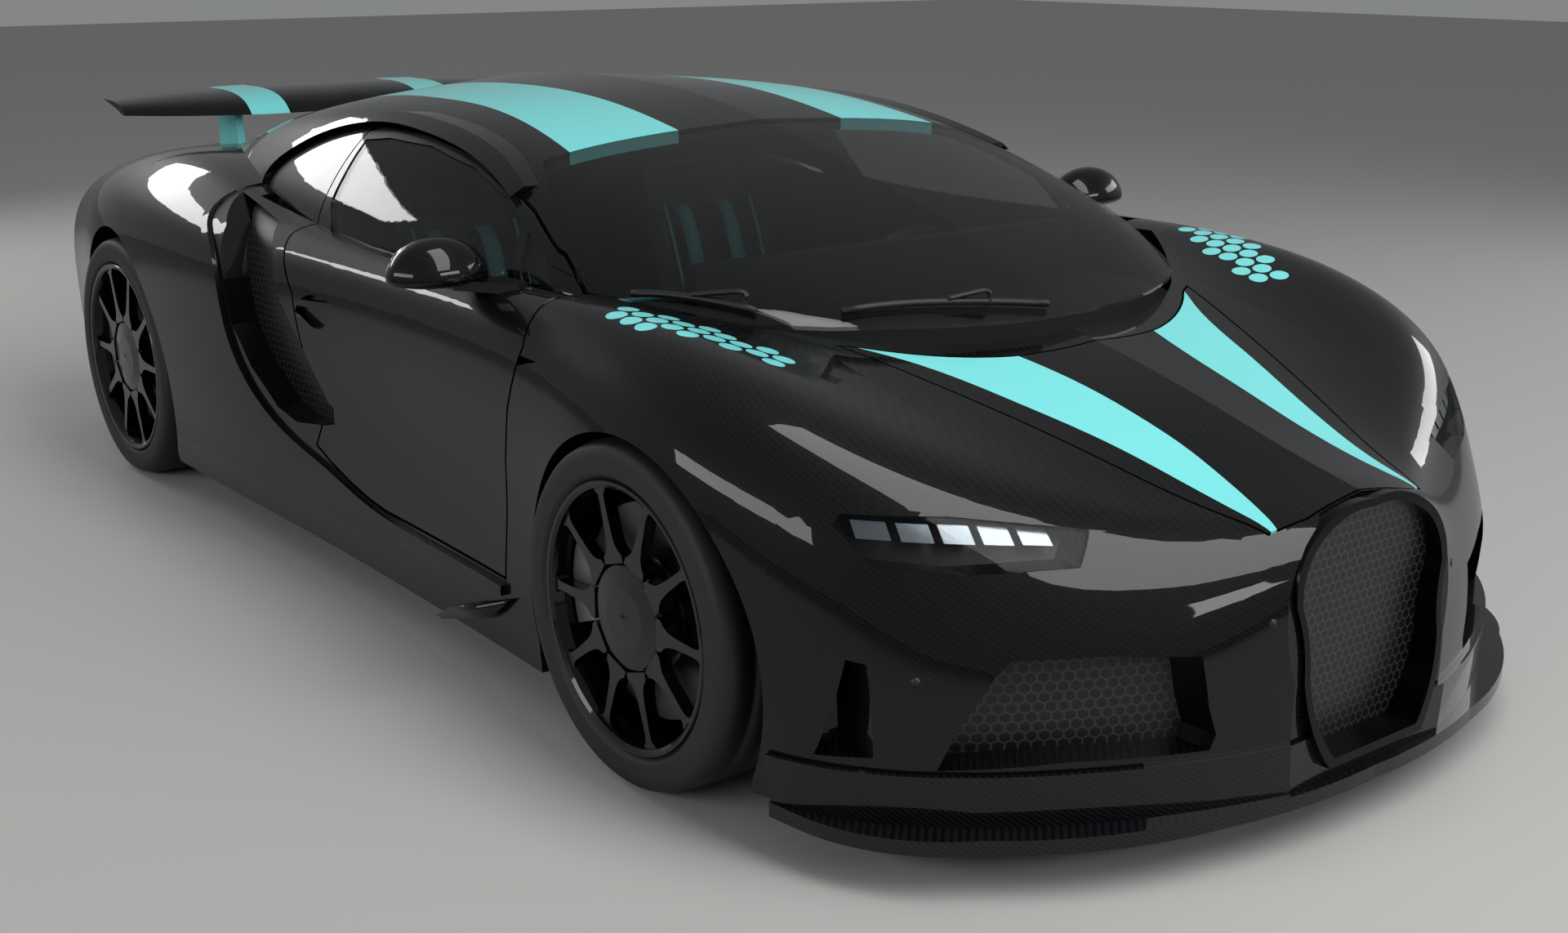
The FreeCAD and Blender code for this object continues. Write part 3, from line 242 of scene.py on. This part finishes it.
def wing_paint(tree):
    x, y, _ = place(tree)
    normal = add(tree, "NewGeometry", output="True Normal")
    facing = add(tree, "SeparateXYZ", {0: normal}).node.outputs
    under = add(tree, "Math", {0: facing[2], 1: FACES_DOWN}, operation="LESS_THAN")
    over = band(tree, x, y, WING_INNER, WING_OUTER)
    return add(tree, "Math", {0: under, 1: over}, operation="MAXIMUM")


clothe(bodywork("striped_carbon_wing", wing_paint), "rear_wing")
# Solid colour under the same lacquer, without the cloth.
turquoise_paint = material_of("turquoise_gloss_paint", LACQUER | {"Base Color": TURQUOISE})
clothe(turquoise_paint, "wing_uprights")


# Lower aerodynamic parts. Splitter, valance, skirts, sills and diffuser, screwed on below the body.
# The same cloth, left bare under a satin lacquer, so the weave reads more than on the panels.
def bare_cloth(tree):
    tows = {0: twill(tree, TOW), 6: linear("#07080A"), 7: linear("#141518")}
    return {"Base Color": add(tree, "Mix", tows, 2, data_type="RGBA")}


bare_carbon = material_of("lacquered_carbon_twill", LACQUER | {"Roughness": 0.3}, bare_cloth)
clothe(bare_carbon, "splitter", "front_valance", "side_skirts", "sills", "diffuser")


# Glazing. Laminated screen and tempered door panes, tinted in the mass.
# The tint is dark enough to hide the roof lining and still show the seats.
# Panes this thin bend no light, so they let it straight through, also to the seats.
tinted_glass = material_of("tinted_laminated_glass", {
    "Base Color": linear("#050708"), "Roughness": 0.0, "IOR": 1.5, "Alpha": 0.42,
    "Specular IOR Level": 0.9,
})
clothe(tinted_glass, "windscreen", *both("door_glass"))


# Lamps. A moulded polycarbonate cover, glued over a black housing with five square lamps in a row.
# The tail lamp is one moulded red acrylic bar across the car.
# The cover is barely smoked, so it shows as a sharp sheen over the lamps.
clear_cover = material_of("smoked_polycarbonate", {
    "Base Color": linear("#040506"), "Roughness": 0.0, "IOR": 1.58, "Alpha": 0.14,
})
clothe(clear_cover, "headlamp_lenses")
# Spark-eroded mould, so the plastic has a soft, broad sheen.
black_moulding = material_of("satin_black_moulding", {
    "Base Color": linear("#0A0A0B"), "Roughness": 0.45,
})
clothe(black_moulding, "headlamp_housings")
# Aluminium laid on in vacuum, a little frosted, so each square catches the light as a whole.
lamp_reflector = material_of("vapour_coated_reflector", {
    "Base Color": linear("#A4AEB5"), "Metallic": 1.0, "Roughness": 0.25,
})
clothe(lamp_reflector, "headlamp_lights")
# Clear red, lit through from behind, so it keeps its colour in shadow.
red_acrylic = material_of("red_acrylic", {
    "Base Color": linear("#7A0508"), "Roughness": 0.08, "IOR": 1.49, "Coat Weight": 1.0,
    "Emission Color": linear("#C00810"), "Emission Strength": 0.25,
})
clothe(red_acrylic, "tail_light")


# Grilles. Expanded aluminium mesh, powder-coated black, in frames of black anodised aluminium.
# The holes are painted near-black, as painted shade of the duct behind, so the strands stand out.
# The real mesh has 12 mm cells. They are drawn at 20 mm, which is the finest that shows.
MESH_PITCH, MESH_STRAND = 0.020, 0.0034


def hexagons(tree, across, up):
    """1 on the strands of a hexagonal mesh laid over the two coordinates, 0 in its holes."""
    flat = add(tree, "CombineXYZ", {0: across, 1: up})
    cell = Vector((MESH_PITCH, MESH_PITCH * math.sqrt(3), 1))
    grid = add(tree, "VectorMath", {0: flat, 1: cell}, operation="DIVIDE")
    spans = []
    for shift in (0.0, 0.5):
        moved = add(tree, "VectorMath", {0: grid, 1: (shift, shift, 0)}, operation="ADD")
        part = add(tree, "VectorMath", {0: moved}, operation="FRACTION")
        middle = add(tree, "VectorMath", {0: part, 1: (0.5, 0.5, 0)}, operation="SUBTRACT")
        offset = add(tree, "VectorMath", {0: middle, 1: cell}, operation="MULTIPLY")
        spread = add(tree, "VectorMath", {0: offset}, operation="ABSOLUTE")
        sides = add(tree, "SeparateXYZ", {0: spread}).node.outputs
        tilted = {0: spread, 1: (0.5, math.sqrt(3) / 2, 0)}
        slant = add(tree, "VectorMath", tilted, "Value", operation="DOT_PRODUCT")
        spans.append(add(tree, "Math", {0: sides[0], 1: slant}, operation="MAXIMUM"))
    near = add(tree, "Math", {0: spans[0], 1: spans[1]}, operation="MINIMUM")
    hole = (MESH_PITCH - MESH_STRAND) / 2
    return add(tree, "Math", {0: near, 1: hole}, operation="GREATER_THAN")


def front_mesh(tree):
    _, y, z = place(tree)
    # The holes are painted near-black as painted shade of the duct behind. These strands are
    # painted lighter than the side grilles' strands, as painted light.
    strands = {0: hexagons(tree, y, z), 6: linear("#010101"), 7: linear("#2C2D31")}
    return {"Base Color": add(tree, "Mix", strands, 2, data_type="RGBA")}


def side_mesh(tree):
    x, _, z = place(tree)
    # The holes are painted near-black as painted shade of the duct behind. These strands are
    # painted darker than the front grilles' strands, as painted shade.
    strands = {0: hexagons(tree, x, z), 6: linear("#010101"), 7: linear("#232427")}
    return {"Base Color": add(tree, "Mix", strands, 2, data_type="RGBA")}


# Baked powder: an even, half-matt skin.
POWDER_COAT = {"Roughness": 0.4}
mesh_over_painted_shade_front = material_of("black_mesh_over_painted_shade_front", POWDER_COAT, front_mesh)
clothe(mesh_over_painted_shade_front, "intake_grilles", "centre_grille", "outlet_grilles")
mesh_over_painted_shade_side = material_of("black_mesh_over_painted_shade_side", POWDER_COAT, side_mesh)
clothe(mesh_over_painted_shade_side, "side_grilles")
# Polished before it is anodised: dark metal with clear, narrow highlights.
black_anodised = material_of("black_anodised_aluminium", {
    "Base Color": linear("#232427"), "Metallic": 1.0, "Roughness": 0.2,
})
clothe(black_anodised, "grille_surround")
# Warm grey metal, brushed round and polished.
polished_titanium = material_of("polished_titanium", {
    "Base Color": linear("#8C8A86"), "Metallic": 1.0, "Roughness": 0.2,
})
clothe(polished_titanium, "exhaust_tips")


# Wheels. Forged aluminium rims, sprayed gloss black, with one central nut.
# The discs behind them are cast iron, ground flat.
CORNERS = [f"{end}_{side}" for end in ("front", "rear") for side in ("left", "right")]
# Paint over metal: deep black, with bright lines along the edges of the spokes.
black_forging = material_of("gloss_black_forged_aluminium", {
    "Base Color": linear("#030304"), "Roughness": 0.3, "Specular IOR Level": 0.1,
    "Coat Weight": 0.7, "Coat Roughness": 0.03,
})
clothe(black_forging, *[f"rim_{corner}" for corner in CORNERS])
# A fresh friction face: grey metal with a soft gleam.
ground_iron = material_of("ground_cast_iron", {
    "Base Color": linear("#5C5E60"), "Metallic": 1.0, "Roughness": 0.32,
})
clothe(ground_iron, *[f"brake_disc_{corner}" for corner in CORNERS])


# Tyres. Vulcanised rubber, moulded with rain grooves round the tread and a protector by the rim.
# Each is a revolved section, and stands for the plain solid of the same size.
def form(name, vertices, faces, material, body, slot):
    """A smooth mesh with this material, that rides on a body. slot is not used."""
    mesh = bpy.data.meshes.new(name)
    mesh.from_pydata(vertices, [], faces)
    mesh.materials.append(material)
    mesh.polygons.foreach_set("use_smooth", [True] * len(mesh.polygons))
    made = bpy.data.objects.new(name, mesh)
    bpy.context.scene.collection.objects.link(made)
    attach(made, body)
    return made


def loft(rings, closed=False):
    """The vertices and faces of a skin over rings of equal counts, capped unless it is closed."""
    count = len(rings[0])
    vertices = [point for ring in rings for point in ring]
    faces = []
    for lap in range(len(rings) if closed else len(rings) - 1):
        near, far = lap * count, (lap + 1) % len(rings) * count
        faces += [
            (near + i, near + (i + 1) % count, far + (i + 1) % count, far + i) for i in range(count)
        ]
    if not closed:
        faces.append(tuple(reversed(range(count))))
        faces.append(tuple(range(len(vertices) - count, len(vertices))))
    return vertices, faces


TREAD_SEGMENTS = 144
SIDEWALL = {"front": 0.074, "rear": 0.076}
# Half of the tyre's section, from the crown out to the bead: across (as a share of half the width,
# then metres), and below the crown (as a share of the sidewall, then metres).
TYRE_SECTION = [
    (0.00, 0.000, 0.0, 0.0000), (0.17, -0.005, 0.0, 0.0000), (0.17, -0.004, 0.0, 0.0065),
    (0.17, 0.004, 0.0, 0.0065), (0.17, 0.005, 0.0, 0.0000), (0.52, -0.005, 0.0, 0.0005),
    (0.52, -0.004, 0.0, 0.0065), (0.52, 0.004, 0.0, 0.0065), (0.52, 0.005, 0.0, 0.0008),
    (0.80, 0.000, 0.0, 0.0030), (0.92, 0.000, 0.0, 0.0090), (0.975, 0.000, 0.22, 0.0000),
    (1.00, -0.001, 0.45, 0.0000), (1.00, -0.001, 0.60, 0.0000), (0.985, 0.000, 0.80, 0.0000),
    (0.985, 0.000, 0.88, 0.0000), (0.94, 0.000, 0.92, 0.0000), (0.93, 0.000, 1.00, 0.0000),
    (0.86, 0.000, 1.00, 0.0000), (0.86, 0.000, 0.70, 0.0000), (0.78, 0.000, 0.35, 0.0000),
    (0.00, 0.000, 0.28, 0.0000),
]
# Carbon black in the rubber leaves it dark grey and matt.
rubber = material_of("vulcanised_rubber", {"Base Color": linear("#131314"), "Roughness": 0.6})
for corner in CORNERS:
    low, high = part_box(f"tyre_{corner}")
    middle = [(a + b) / 2 for a, b in zip(low, high)]
    radius, half = (high[2] - low[2]) / 2, (high[1] - low[1]) / 2
    wall = SIDEWALL[corner.split("_")[0]]
    half_section = [(a * half + b, radius - c * wall - d) for a, b, c, d in TYRE_SECTION]
    mirror_half = [(-across, out) for across, out in reversed(half_section[1:-1])]
    section = half_section + mirror_half
    rings = []
    for step in range(TREAD_SEGMENTS):
        turn = 2 * math.pi * step / TREAD_SEGMENTS
        rings.append([
            (middle[0] + out * math.cos(turn), middle[1] + across, middle[2] + out * math.sin(turn))
            for across, out in section
        ])
    revolved = loft(rings, closed=True)
    tyre = form(f"moulded_tyre_{corner}", *revolved, rubber, f"wheel_{corner}", "tyre")
    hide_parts(f"tyre_{corner}")


# Chassis. Cast aluminium carriers, welded steel arms and frames, and the moulded carbon tub.
# They are bolted together, and show past the wheels, below the floor and through the glass.
# Sand-cast skin: pale metal with a broad, dull gleam.
cast_aluminium = material_of("cast_aluminium", {
    "Base Color": linear("#8F9295"), "Metallic": 1.0, "Roughness": 0.5,
})
clothe(cast_aluminium, "rear_knuckles", "engine", *both("front_knuckle"))
# Dipped primer and chassis paint: an even black half-gloss.
painted_steel = material_of("black_painted_steel", {
    "Base Color": linear("#121314"), "Roughness": 0.4,
})
clothe(painted_steel, "front_wishbones", "rear_wishbones", "front_frame", "engine_cradle")
# The tub is not lacquered, so its weave is seen half matt.
clothe(material_of("satin_carbon_tub", {"Roughness": 0.5}, bare_cloth), "tub")


# Cabin. Black leather over the dashboard, the seats and the wheel's rim.
# Its grain is a fine pebble, and the wear leaves it half matt.
def grain(tree):
    where = add(tree, "TexCoord", output="Object")
    # Leather grain is about 1 mm across. It is drawn at 4 mm so that it shows.
    pebbles = add(tree, "TexVoronoi", {"Vector": where, "Scale": 1 / 0.004})
    relief = {"Height": pebbles, "Strength": 0.25, "Distance": 0.0006}
    return {"Normal": add(tree, "Bump", relief)}


black_leather = material_of("pebbled_black_leather", {
    "Base Color": linear("#0E0F10"), "Roughness": 0.5,
}, grain)
clothe(black_leather, "seats", "dashboard", "steering_wheel")


# Seat pads. Quilted leather over foam, in the shells of the seats, with turquoise piping.
# Each is sewn across in channels, so it bulges between the seams.
def tube(points, radius, sides=8, flat=1.0):
    """Rings round a line through points. flat narrows the ring's height against its width."""
    rings = []
    for i, point in enumerate(points):
        here = Vector(point)
        after, before = points[min(i + 1, len(points) - 1)], points[max(i - 1, 0)]
        ahead = (Vector(after) - Vector(before)).normalized()
        side = ahead.cross(Vector((0, 0, 1)))
        side = side.normalized() if side.length > 0.05 else Vector((0, 1, 0))
        rise = side.cross(ahead).normalized()
        rings.append([
            here + radius * (math.cos(turn) * side + flat * math.sin(turn) * rise)
            for turn in (2 * math.pi * k / sides for k in range(sides))
        ])
    return rings


def smooth_line(points, steps=8):
    """More points along a line, rounded at its corners."""
    padded = [points[0], *points, points[-1]]
    line = []
    for a, b, c, d in zip(padded, padded[1:], padded[2:], padded[3:]):
        for step in range(steps):
            t = step / steps
            line.append(tuple(
                0.5 * (2 * q + (r - p) * t + (2 * p - 5 * q + 4 * r - s) * t * t
                       + (3 * q - p - 3 * r + s) * t ** 3)
                for p, q, r, s in zip(a, b, c, d)
            ))
    return line + [points[-1]]


SEAT_MIDDLE = 0.40
PAD_HALF, PAD_THICK, CHANNEL = 0.150, 0.030, 0.055
# Each line runs over a pad's middle from front to back, as (x, z).
PAD_LINE = [
    (0.10, 0.325), (0.00, 0.318), (-0.12, 0.300), (-0.235, 0.292), (-0.275, 0.36), (-0.335, 0.52),
    (-0.385, 0.66), (-0.415, 0.755),
]
BOLSTER_LINE = [
    (0.085, 0.352), (-0.05, 0.350), (-0.185, 0.352), (-0.235, 0.45), (-0.290, 0.57),
    (-0.340, 0.70), (-0.385, 0.795),
]
HEAD_LINE = [(-0.448, 0.835), (-0.455, 0.875), (-0.462, 0.915)]
PADS = [
    # name, line, half its width, half its thickness, place beside the seat's middle
    ("seat_pad", PAD_LINE, PAD_HALF, PAD_THICK, 0.0), ("headrest_pad", HEAD_LINE, 0.11, 0.022, 0.0),
    ("inner_bolster", BOLSTER_LINE, 0.036, 0.030, -0.190),
    ("outer_bolster", BOLSTER_LINE, 0.036, 0.030, 0.190),
]
PAD_SIDES = 24
# Below 1 this power makes the section fuller than an ellipse.
PAD_CROWN = 0.6
# The piping follows the seam between pad and bolster, on both sides.
PIPING_AWAY, PIPING_AHEAD, PIPING_RISE, PIPING_RADIUS = 0.153, 0.014, 0.026, 0.005
# Drum-dyed and buffed, so it is pale and a little smoother than the black.
turquoise_leather = material_of("turquoise_dyed_leather", {
    "Base Color": linear("#6CCFCE"), "Roughness": 0.45,
}, grain)
for side, sign in (("left", 1), ("right", -1)):
    for name, line, half, thick, away in PADS:
        path = smooth_line([(x, sign * (SEAT_MIDDLE + away), z) for x, z in line])
        rings, run = [], 0.0
        for i, point in enumerate(path):
            ahead = Vector(path[min(i + 1, len(path) - 1)]) - Vector(path[max(i - 1, 0)])
            run += (Vector(point) - Vector(path[max(i - 1, 0)])).length
            front = Vector((0, 1, 0)).cross(ahead).normalized()
            if front.z < 0 and front.x < 0:
                front = -front
            end = min(i, len(path) - 1 - i)
            rounding = min(1.0, 0.45 + 0.2 * end)
            puff = 0.82 + 0.18 * abs(math.sin(math.pi * run / CHANNEL))
            rings.append([
                Vector(point) + Vector((0, half * rounding * math.cos(t), 0))
                + front * thick * rounding * puff
                * math.copysign(abs(math.sin(t)) ** PAD_CROWN, math.sin(t))
                for t in (2 * math.pi * k / PAD_SIDES for k in range(PAD_SIDES))
            ])
        pad = form(f"{name}_{side}", *loft(rings), black_leather, "car", "leather")
    for place_name, away in (("inner", -PIPING_AWAY), ("outer", PIPING_AWAY)):
        path = smooth_line([
            (x + PIPING_AHEAD, sign * (SEAT_MIDDLE + away), z + PIPING_RISE)
            for x, z in BOLSTER_LINE
        ])
        form(f"piping_{side}_{place_name}", *loft(tube(path, PIPING_RADIUS)), turquoise_leather,
             "car", "leather")


# Dashboard line and seat belts. A turquoise leather welt is sewn in an arc over the dashboard.
# The belts are woven turquoise webbing, 48 mm wide, bolted behind the shoulders of the seats.
# The arc falls back and down from the middle of the dashboard to its ends.
WELT_HALF, WELT_RADIUS = 0.6, 0.006
DASH_ARC = [
    (0.80 - 0.16 * (y / WELT_HALF) ** 2, y, 0.806 - 0.02 * (y / WELT_HALF) ** 2)
    for y in (-0.6, -0.45, -0.3, -0.15, 0.0, 0.15, 0.3, 0.45, 0.6)
]
form("dashboard_welt", *loft(tube(smooth_line(DASH_ARC), WELT_RADIUS)), turquoise_leather,
     "car", "leather")
# Close weave of polyester yarn: even colour and no shine.
webbing = material_of("turquoise_polyester_webbing", {
    "Base Color": linear("#5FC4C4"), "Roughness": 0.8,
})
BELT_LINE = [
    (-0.47, 0.79), (-0.44, 0.80), (-0.395, 0.755), (-0.34, 0.62), (-0.28, 0.47), (-0.225, 0.37),
]
BELT_AWAY, BELT_HALF = 0.075, 0.024
# The webbing's back and front lie this far ahead of the line, and its front a little higher.
BELT_BACK, BELT_FRONT, BELT_LIFT = 0.03, 0.033, 0.001
for side, sign in (("left", 1), ("right", -1)):
    for name, away in (("inner", -BELT_AWAY), ("outer", BELT_AWAY)):
        path = smooth_line([
            (x + 0.004, sign * (SEAT_MIDDLE + away), z + 0.002) for x, z in BELT_LINE
        ])
        rings = [
            [(x + BELT_BACK, y - BELT_HALF, z), (x + BELT_BACK, y + BELT_HALF, z),
             (x + BELT_FRONT, y + BELT_HALF, z + BELT_LIFT),
             (x + BELT_FRONT, y - BELT_HALF, z + BELT_LIFT)]
            for x, y, z in path
        ]
        form(f"belt_{side}_{name}", *loft(rings), webbing, "car", "leather")


# Engine dress. A ribbed cover of moulded plastic is clipped over the block, between two titanium
# charge pipes. They show through the opening in the rear deck.
low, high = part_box("engine")
COVER_HALF, COVER_RISE, COVER_INSET, COVER_RIBS, COVER_SIDES = 0.11, 0.045, 0.06, 24, 24
# Every other ring is lower, which makes the ribs.
RIB_VALLEY = 0.82
cover_rings = []
for step in range(COVER_RIBS + 1):
    x = low[0] + COVER_INSET + (high[0] - low[0] - 2 * COVER_INSET) * step / COVER_RIBS
    rise = COVER_RISE * (1.0 if step % 2 else RIB_VALLEY)
    ring = []
    for k in range(COVER_SIDES):
        turn = 2 * math.pi * k / COVER_SIDES
        up = rise * math.sin(turn) ** 0.5 if math.sin(turn) > 0 else -0.002
        ring.append((x, COVER_HALF * math.cos(turn), high[2] + up))
    cover_rings.append(ring)
form("engine_cover", *loft(cover_rings), black_moulding, "car", "satin_black")
PIPE_RADIUS = 0.033
for side, sign in (("left", 1), ("right", -1)):
    pipe = smooth_line([(x, sign * y, high[2] + z) for x, y, z in (
        (low[0] + 0.05, 0.20, -0.03), (low[0] + 0.10, 0.18, 0.035), (low[0] + 0.35, 0.165, 0.045),
        (high[0] - 0.10, 0.18, 0.035), (high[0] - 0.04, 0.22, -0.03),
    )])
    bent = loft(tube(pipe, PIPE_RADIUS, sides=20))
    form(f"charge_pipe_{side}", *bent, polished_titanium, "car", "steel")


# Mirror glasses. Silvered glass, let into the rear of each mirror's shell.
# They ride with the doors.
# A silver film behind float glass: bright, and sharp to the edge.
mirror_silver = material_of("silvered_glass", {
    "Base Color": linear("#C8CDD0"), "Metallic": 1.0, "Roughness": 0.02,
})
MIRROR_CENTRE = (0.590 - 0.040, 0.980, 0.905)
MIRROR_DEPTH, MIRROR_HALF, MIRROR_RISE = 0.042, 0.084, 0.046
MIRROR_LAPS, MIRROR_SIDES = 8, 20
for side, sign in (("left", 1), ("right", -1)):
    centre = Vector((MIRROR_CENTRE[0], sign * MIRROR_CENTRE[1], MIRROR_CENTRE[2]))
    rings = []
    for step in range(MIRROR_LAPS + 1):
        tilt = math.pi * (step / MIRROR_LAPS - 0.5)
        rings.append([
            centre + Vector((-MIRROR_DEPTH * math.cos(tilt) * math.cos(t),
                             MIRROR_HALF * math.sin(tilt),
                             MIRROR_RISE * math.cos(tilt) * math.sin(t)))
            for t in (2 * math.pi * k / MIRROR_SIDES for k in range(MIRROR_SIDES))
        ])
    form(f"mirror_glass_{side}", *loft(rings), mirror_silver, f"door_{side}", "chrome")


# Parking sensors. Black polymer discs, 18 mm across, pressed into the bumper.
# Each stands just proud of the paint.
def seat_on(spot, toward, *names):
    """Where a line from a spot first meets CAD surfaces among these nodes, and the normal there."""
    best = None
    for name in names:
        hit, where, normal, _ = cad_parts[name].ray_cast(Vector(spot), Vector(toward))
        if hit and (best is None
                    or (where - Vector(spot)).length < (best[0] - Vector(spot)).length):
            best = (where, normal)
    return best


SENSORS = [(0.825, 0.369), (0.265, 0.431)]
SENSOR_RADIUS, SENSOR_SUNK, SENSOR_PROUD = 0.009, 0.004, 0.0008
BUMPER_SKINS = ("front_bumper", "front_wings", "front_valance")
AHEAD_OF_NOSE = 3.0
for number, (across, up) in enumerate(SENSORS):
    for side, sign in (("left", 1), ("right", -1)):
        found = seat_on((AHEAD_OF_NOSE, sign * across, up), (-1, 0, 0), *BUMPER_SKINS)
        if not found:
            continue
        where, normal = found
        ends = [where - normal * SENSOR_SUNK, where + normal * SENSOR_PROUD]
        disc = loft(tube(ends, SENSOR_RADIUS, 20))
        form(f"sensor_{number}_{side}", *disc, black_moulding, "car", "satin_black")


# Flicks behind the front wheels. Blades of bare carbon, screwed to the skirts.
# Each turns the air that leaves the wheel arch.
FLICK = [(0.530, 0.112), (0.600, 0.150), (0.862, 0.243), (0.775, 0.176), (0.560, 0.112)]
FLICK_LAYERS = (0.940, 0.990, 0.996)
for side, sign in (("left", 1), ("right", -1)):
    rings = [[(x, sign * y, z) for x, z in FLICK] for y in FLICK_LAYERS]
    form(f"flick_{side}", *loft(rings if sign > 0 else rings[::-1]), bare_carbon, "car", "carbon")


# Wipers. Steel arms in black paint on two spindles in the cowl, each with a rubber blade.
# They lie parked along the foot of the screen.
def drop(x, y, *names):
    """The height of the highest CAD surface under a point, among these nodes."""
    heights = []
    above = Vector((x, y, 3))
    for name in names:
        hit, where, _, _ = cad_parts[name].ray_cast(above, Vector((0, 0, -1)))
        if hit:
            heights.append(where.z)
    return max(heights)


GLASS_FOOT = ("windscreen", "cowl", "bonnet", "front_wings", "roof")
WIPERS = [
    # name, spindle, blade's ends
    ("right", (1.164, -0.607), (0.965, -0.742), (1.190, -0.600)),
    ("left", (1.406, -0.177), (1.300, -0.470), (1.452, -0.050)),
]
# Matt paint, so the arms do not glint in the driver's eyes.
wiper_paint = material_of("matt_black_painted_steel", {
    "Base Color": linear("#0C0C0D"), "Roughness": 0.5,
})
BLADE_STEPS, BLADE_RADIUS, BLADE_LIFT = 12, 0.008, 0.012
ARM_RADIUS, ARM_FLATNESS, ARM_RISE, ARM_BOW, ARM_OVER_BLADE = 0.009, 0.6, 0.03, 0.02, 0.006
SPINDLE_LIFT = 0.004
for name, spindle, start, end in WIPERS:
    blade = [
        (start[0] + (end[0] - start[0]) * t, start[1] + (end[1] - start[1]) * t)
        for t in (k / BLADE_STEPS for k in range(BLADE_STEPS + 1))
    ]
    path = [(x, y, drop(x, y, *GLASS_FOOT) + BLADE_LIFT) for x, y in blade]
    form(f"wiper_blade_{name}", *loft(tube(path, BLADE_RADIUS)), wiper_paint, "car", "satin_black")
    middle = path[BLADE_STEPS // 2]
    foot = (*spindle, drop(*spindle, *GLASS_FOOT) + SPINDLE_LIFT)
    bow = [(a + b) / 2 for a, b in zip(foot, middle)]
    arm = [
        foot, (*spindle, foot[2] + ARM_RISE), (bow[0], bow[1], bow[2] + ARM_BOW),
        (middle[0], middle[1], middle[2] + ARM_OVER_BLADE),
    ]
    rod = loft(tube(smooth_line(arm, 4), ARM_RADIUS, flat=ARM_FLATNESS))
    form(f"wiper_arm_{name}", *rod, wiper_paint, "car", "satin_black")


# Studio: a plain pale floor under soft lamps.
# The camera stands where the photograph was taken from.
FLOOR_HALF = 30.0
floor_mesh = bpy.data.meshes.new("floor")
floor_mesh.from_pydata(
    [(-FLOOR_HALF, -FLOOR_HALF, 0), (FLOOR_HALF, -FLOOR_HALF, 0), (FLOOR_HALF, FLOOR_HALF, 0),
     (-FLOOR_HALF, FLOOR_HALF, 0)], [], [(0, 1, 2, 3)])
floor = bpy.data.objects.new("floor", floor_mesh)
bpy.context.scene.collection.objects.link(floor)
# Painted concrete, matt, so it keeps the shadow soft and mirrors nothing.
floor_mesh.materials.append(material_of("pale_studio_floor", {
    "Base Color": linear("#B4B4B1"), "Roughness": 0.8,
}))

LAMPS = [
    # name, place, size across and along, watts
    ("overhead_softbox", (2.9, 0.0, 4.6), (1.8, 6.0), 170),
    ("right_softbox", (1.0, -6.0, 2.4), (7.0, 0.9), 100),
    ("front_softbox", (7.0, 1.5, 2.4), (4.0, 0.8), 75),
    ("left_softbox", (2.6, 6.5, 2.8), (5.0, 1.4), 110),
    ("rear_softbox", (-6.5, -1.5, 3.0), (4.0, 1.0), 90),
]
LOOK_AT = Vector((0, 0, 0.5))
for name, spot, (across, along), watts in LAMPS:
    lamp = bpy.data.lights.new(name, "AREA")
    lamp.shape = "RECTANGLE"
    lamp.size, lamp.size_y = across, along
    lamp.energy = watts
    holder = bpy.data.objects.new(name, lamp)
    holder.location = spot
    holder.rotation_euler = (LOOK_AT - Vector(spot)).to_track_quat("-Z", "Y").to_euler()
    bpy.context.scene.collection.objects.link(holder)

world = bpy.data.worlds.new("studio")
world.use_nodes = True
world.node_tree.nodes["Background"].inputs["Color"].default_value = linear("#E4E6E8")
world.node_tree.nodes["Background"].inputs["Strength"].default_value = 0.3
bpy.context.scene.world = world
bpy.context.scene.view_settings.view_transform = "Standard"

CAMERA_AT = Vector((4.046, -2.755, 1.571))
YAW, PITCH, ROLL = 2.47945266, -0.28158713, 0.00082412
ahead = Vector((math.cos(PITCH) * math.cos(YAW), math.cos(PITCH) * math.sin(YAW), math.sin(PITCH)))
level = ahead.cross(Vector((0, 0, 1))).normalized()
upright = level.cross(ahead)
sideways = level * math.cos(ROLL) + upright * math.sin(ROLL)
overhead = upright * math.cos(ROLL) - level * math.sin(ROLL)
lens = bpy.data.cameras.new("camera")
lens.lens, lens.sensor_width = 42.384, 36.0
lens.clip_end = 100
camera = bpy.data.objects.new("camera", lens)
turned = Matrix((sideways, overhead, -ahead)).transposed().to_4x4()
camera.matrix_world = Matrix.Translation(CAMERA_AT) @ turned
bpy.context.scene.collection.objects.link(camera)
bpy.context.scene.camera = camera
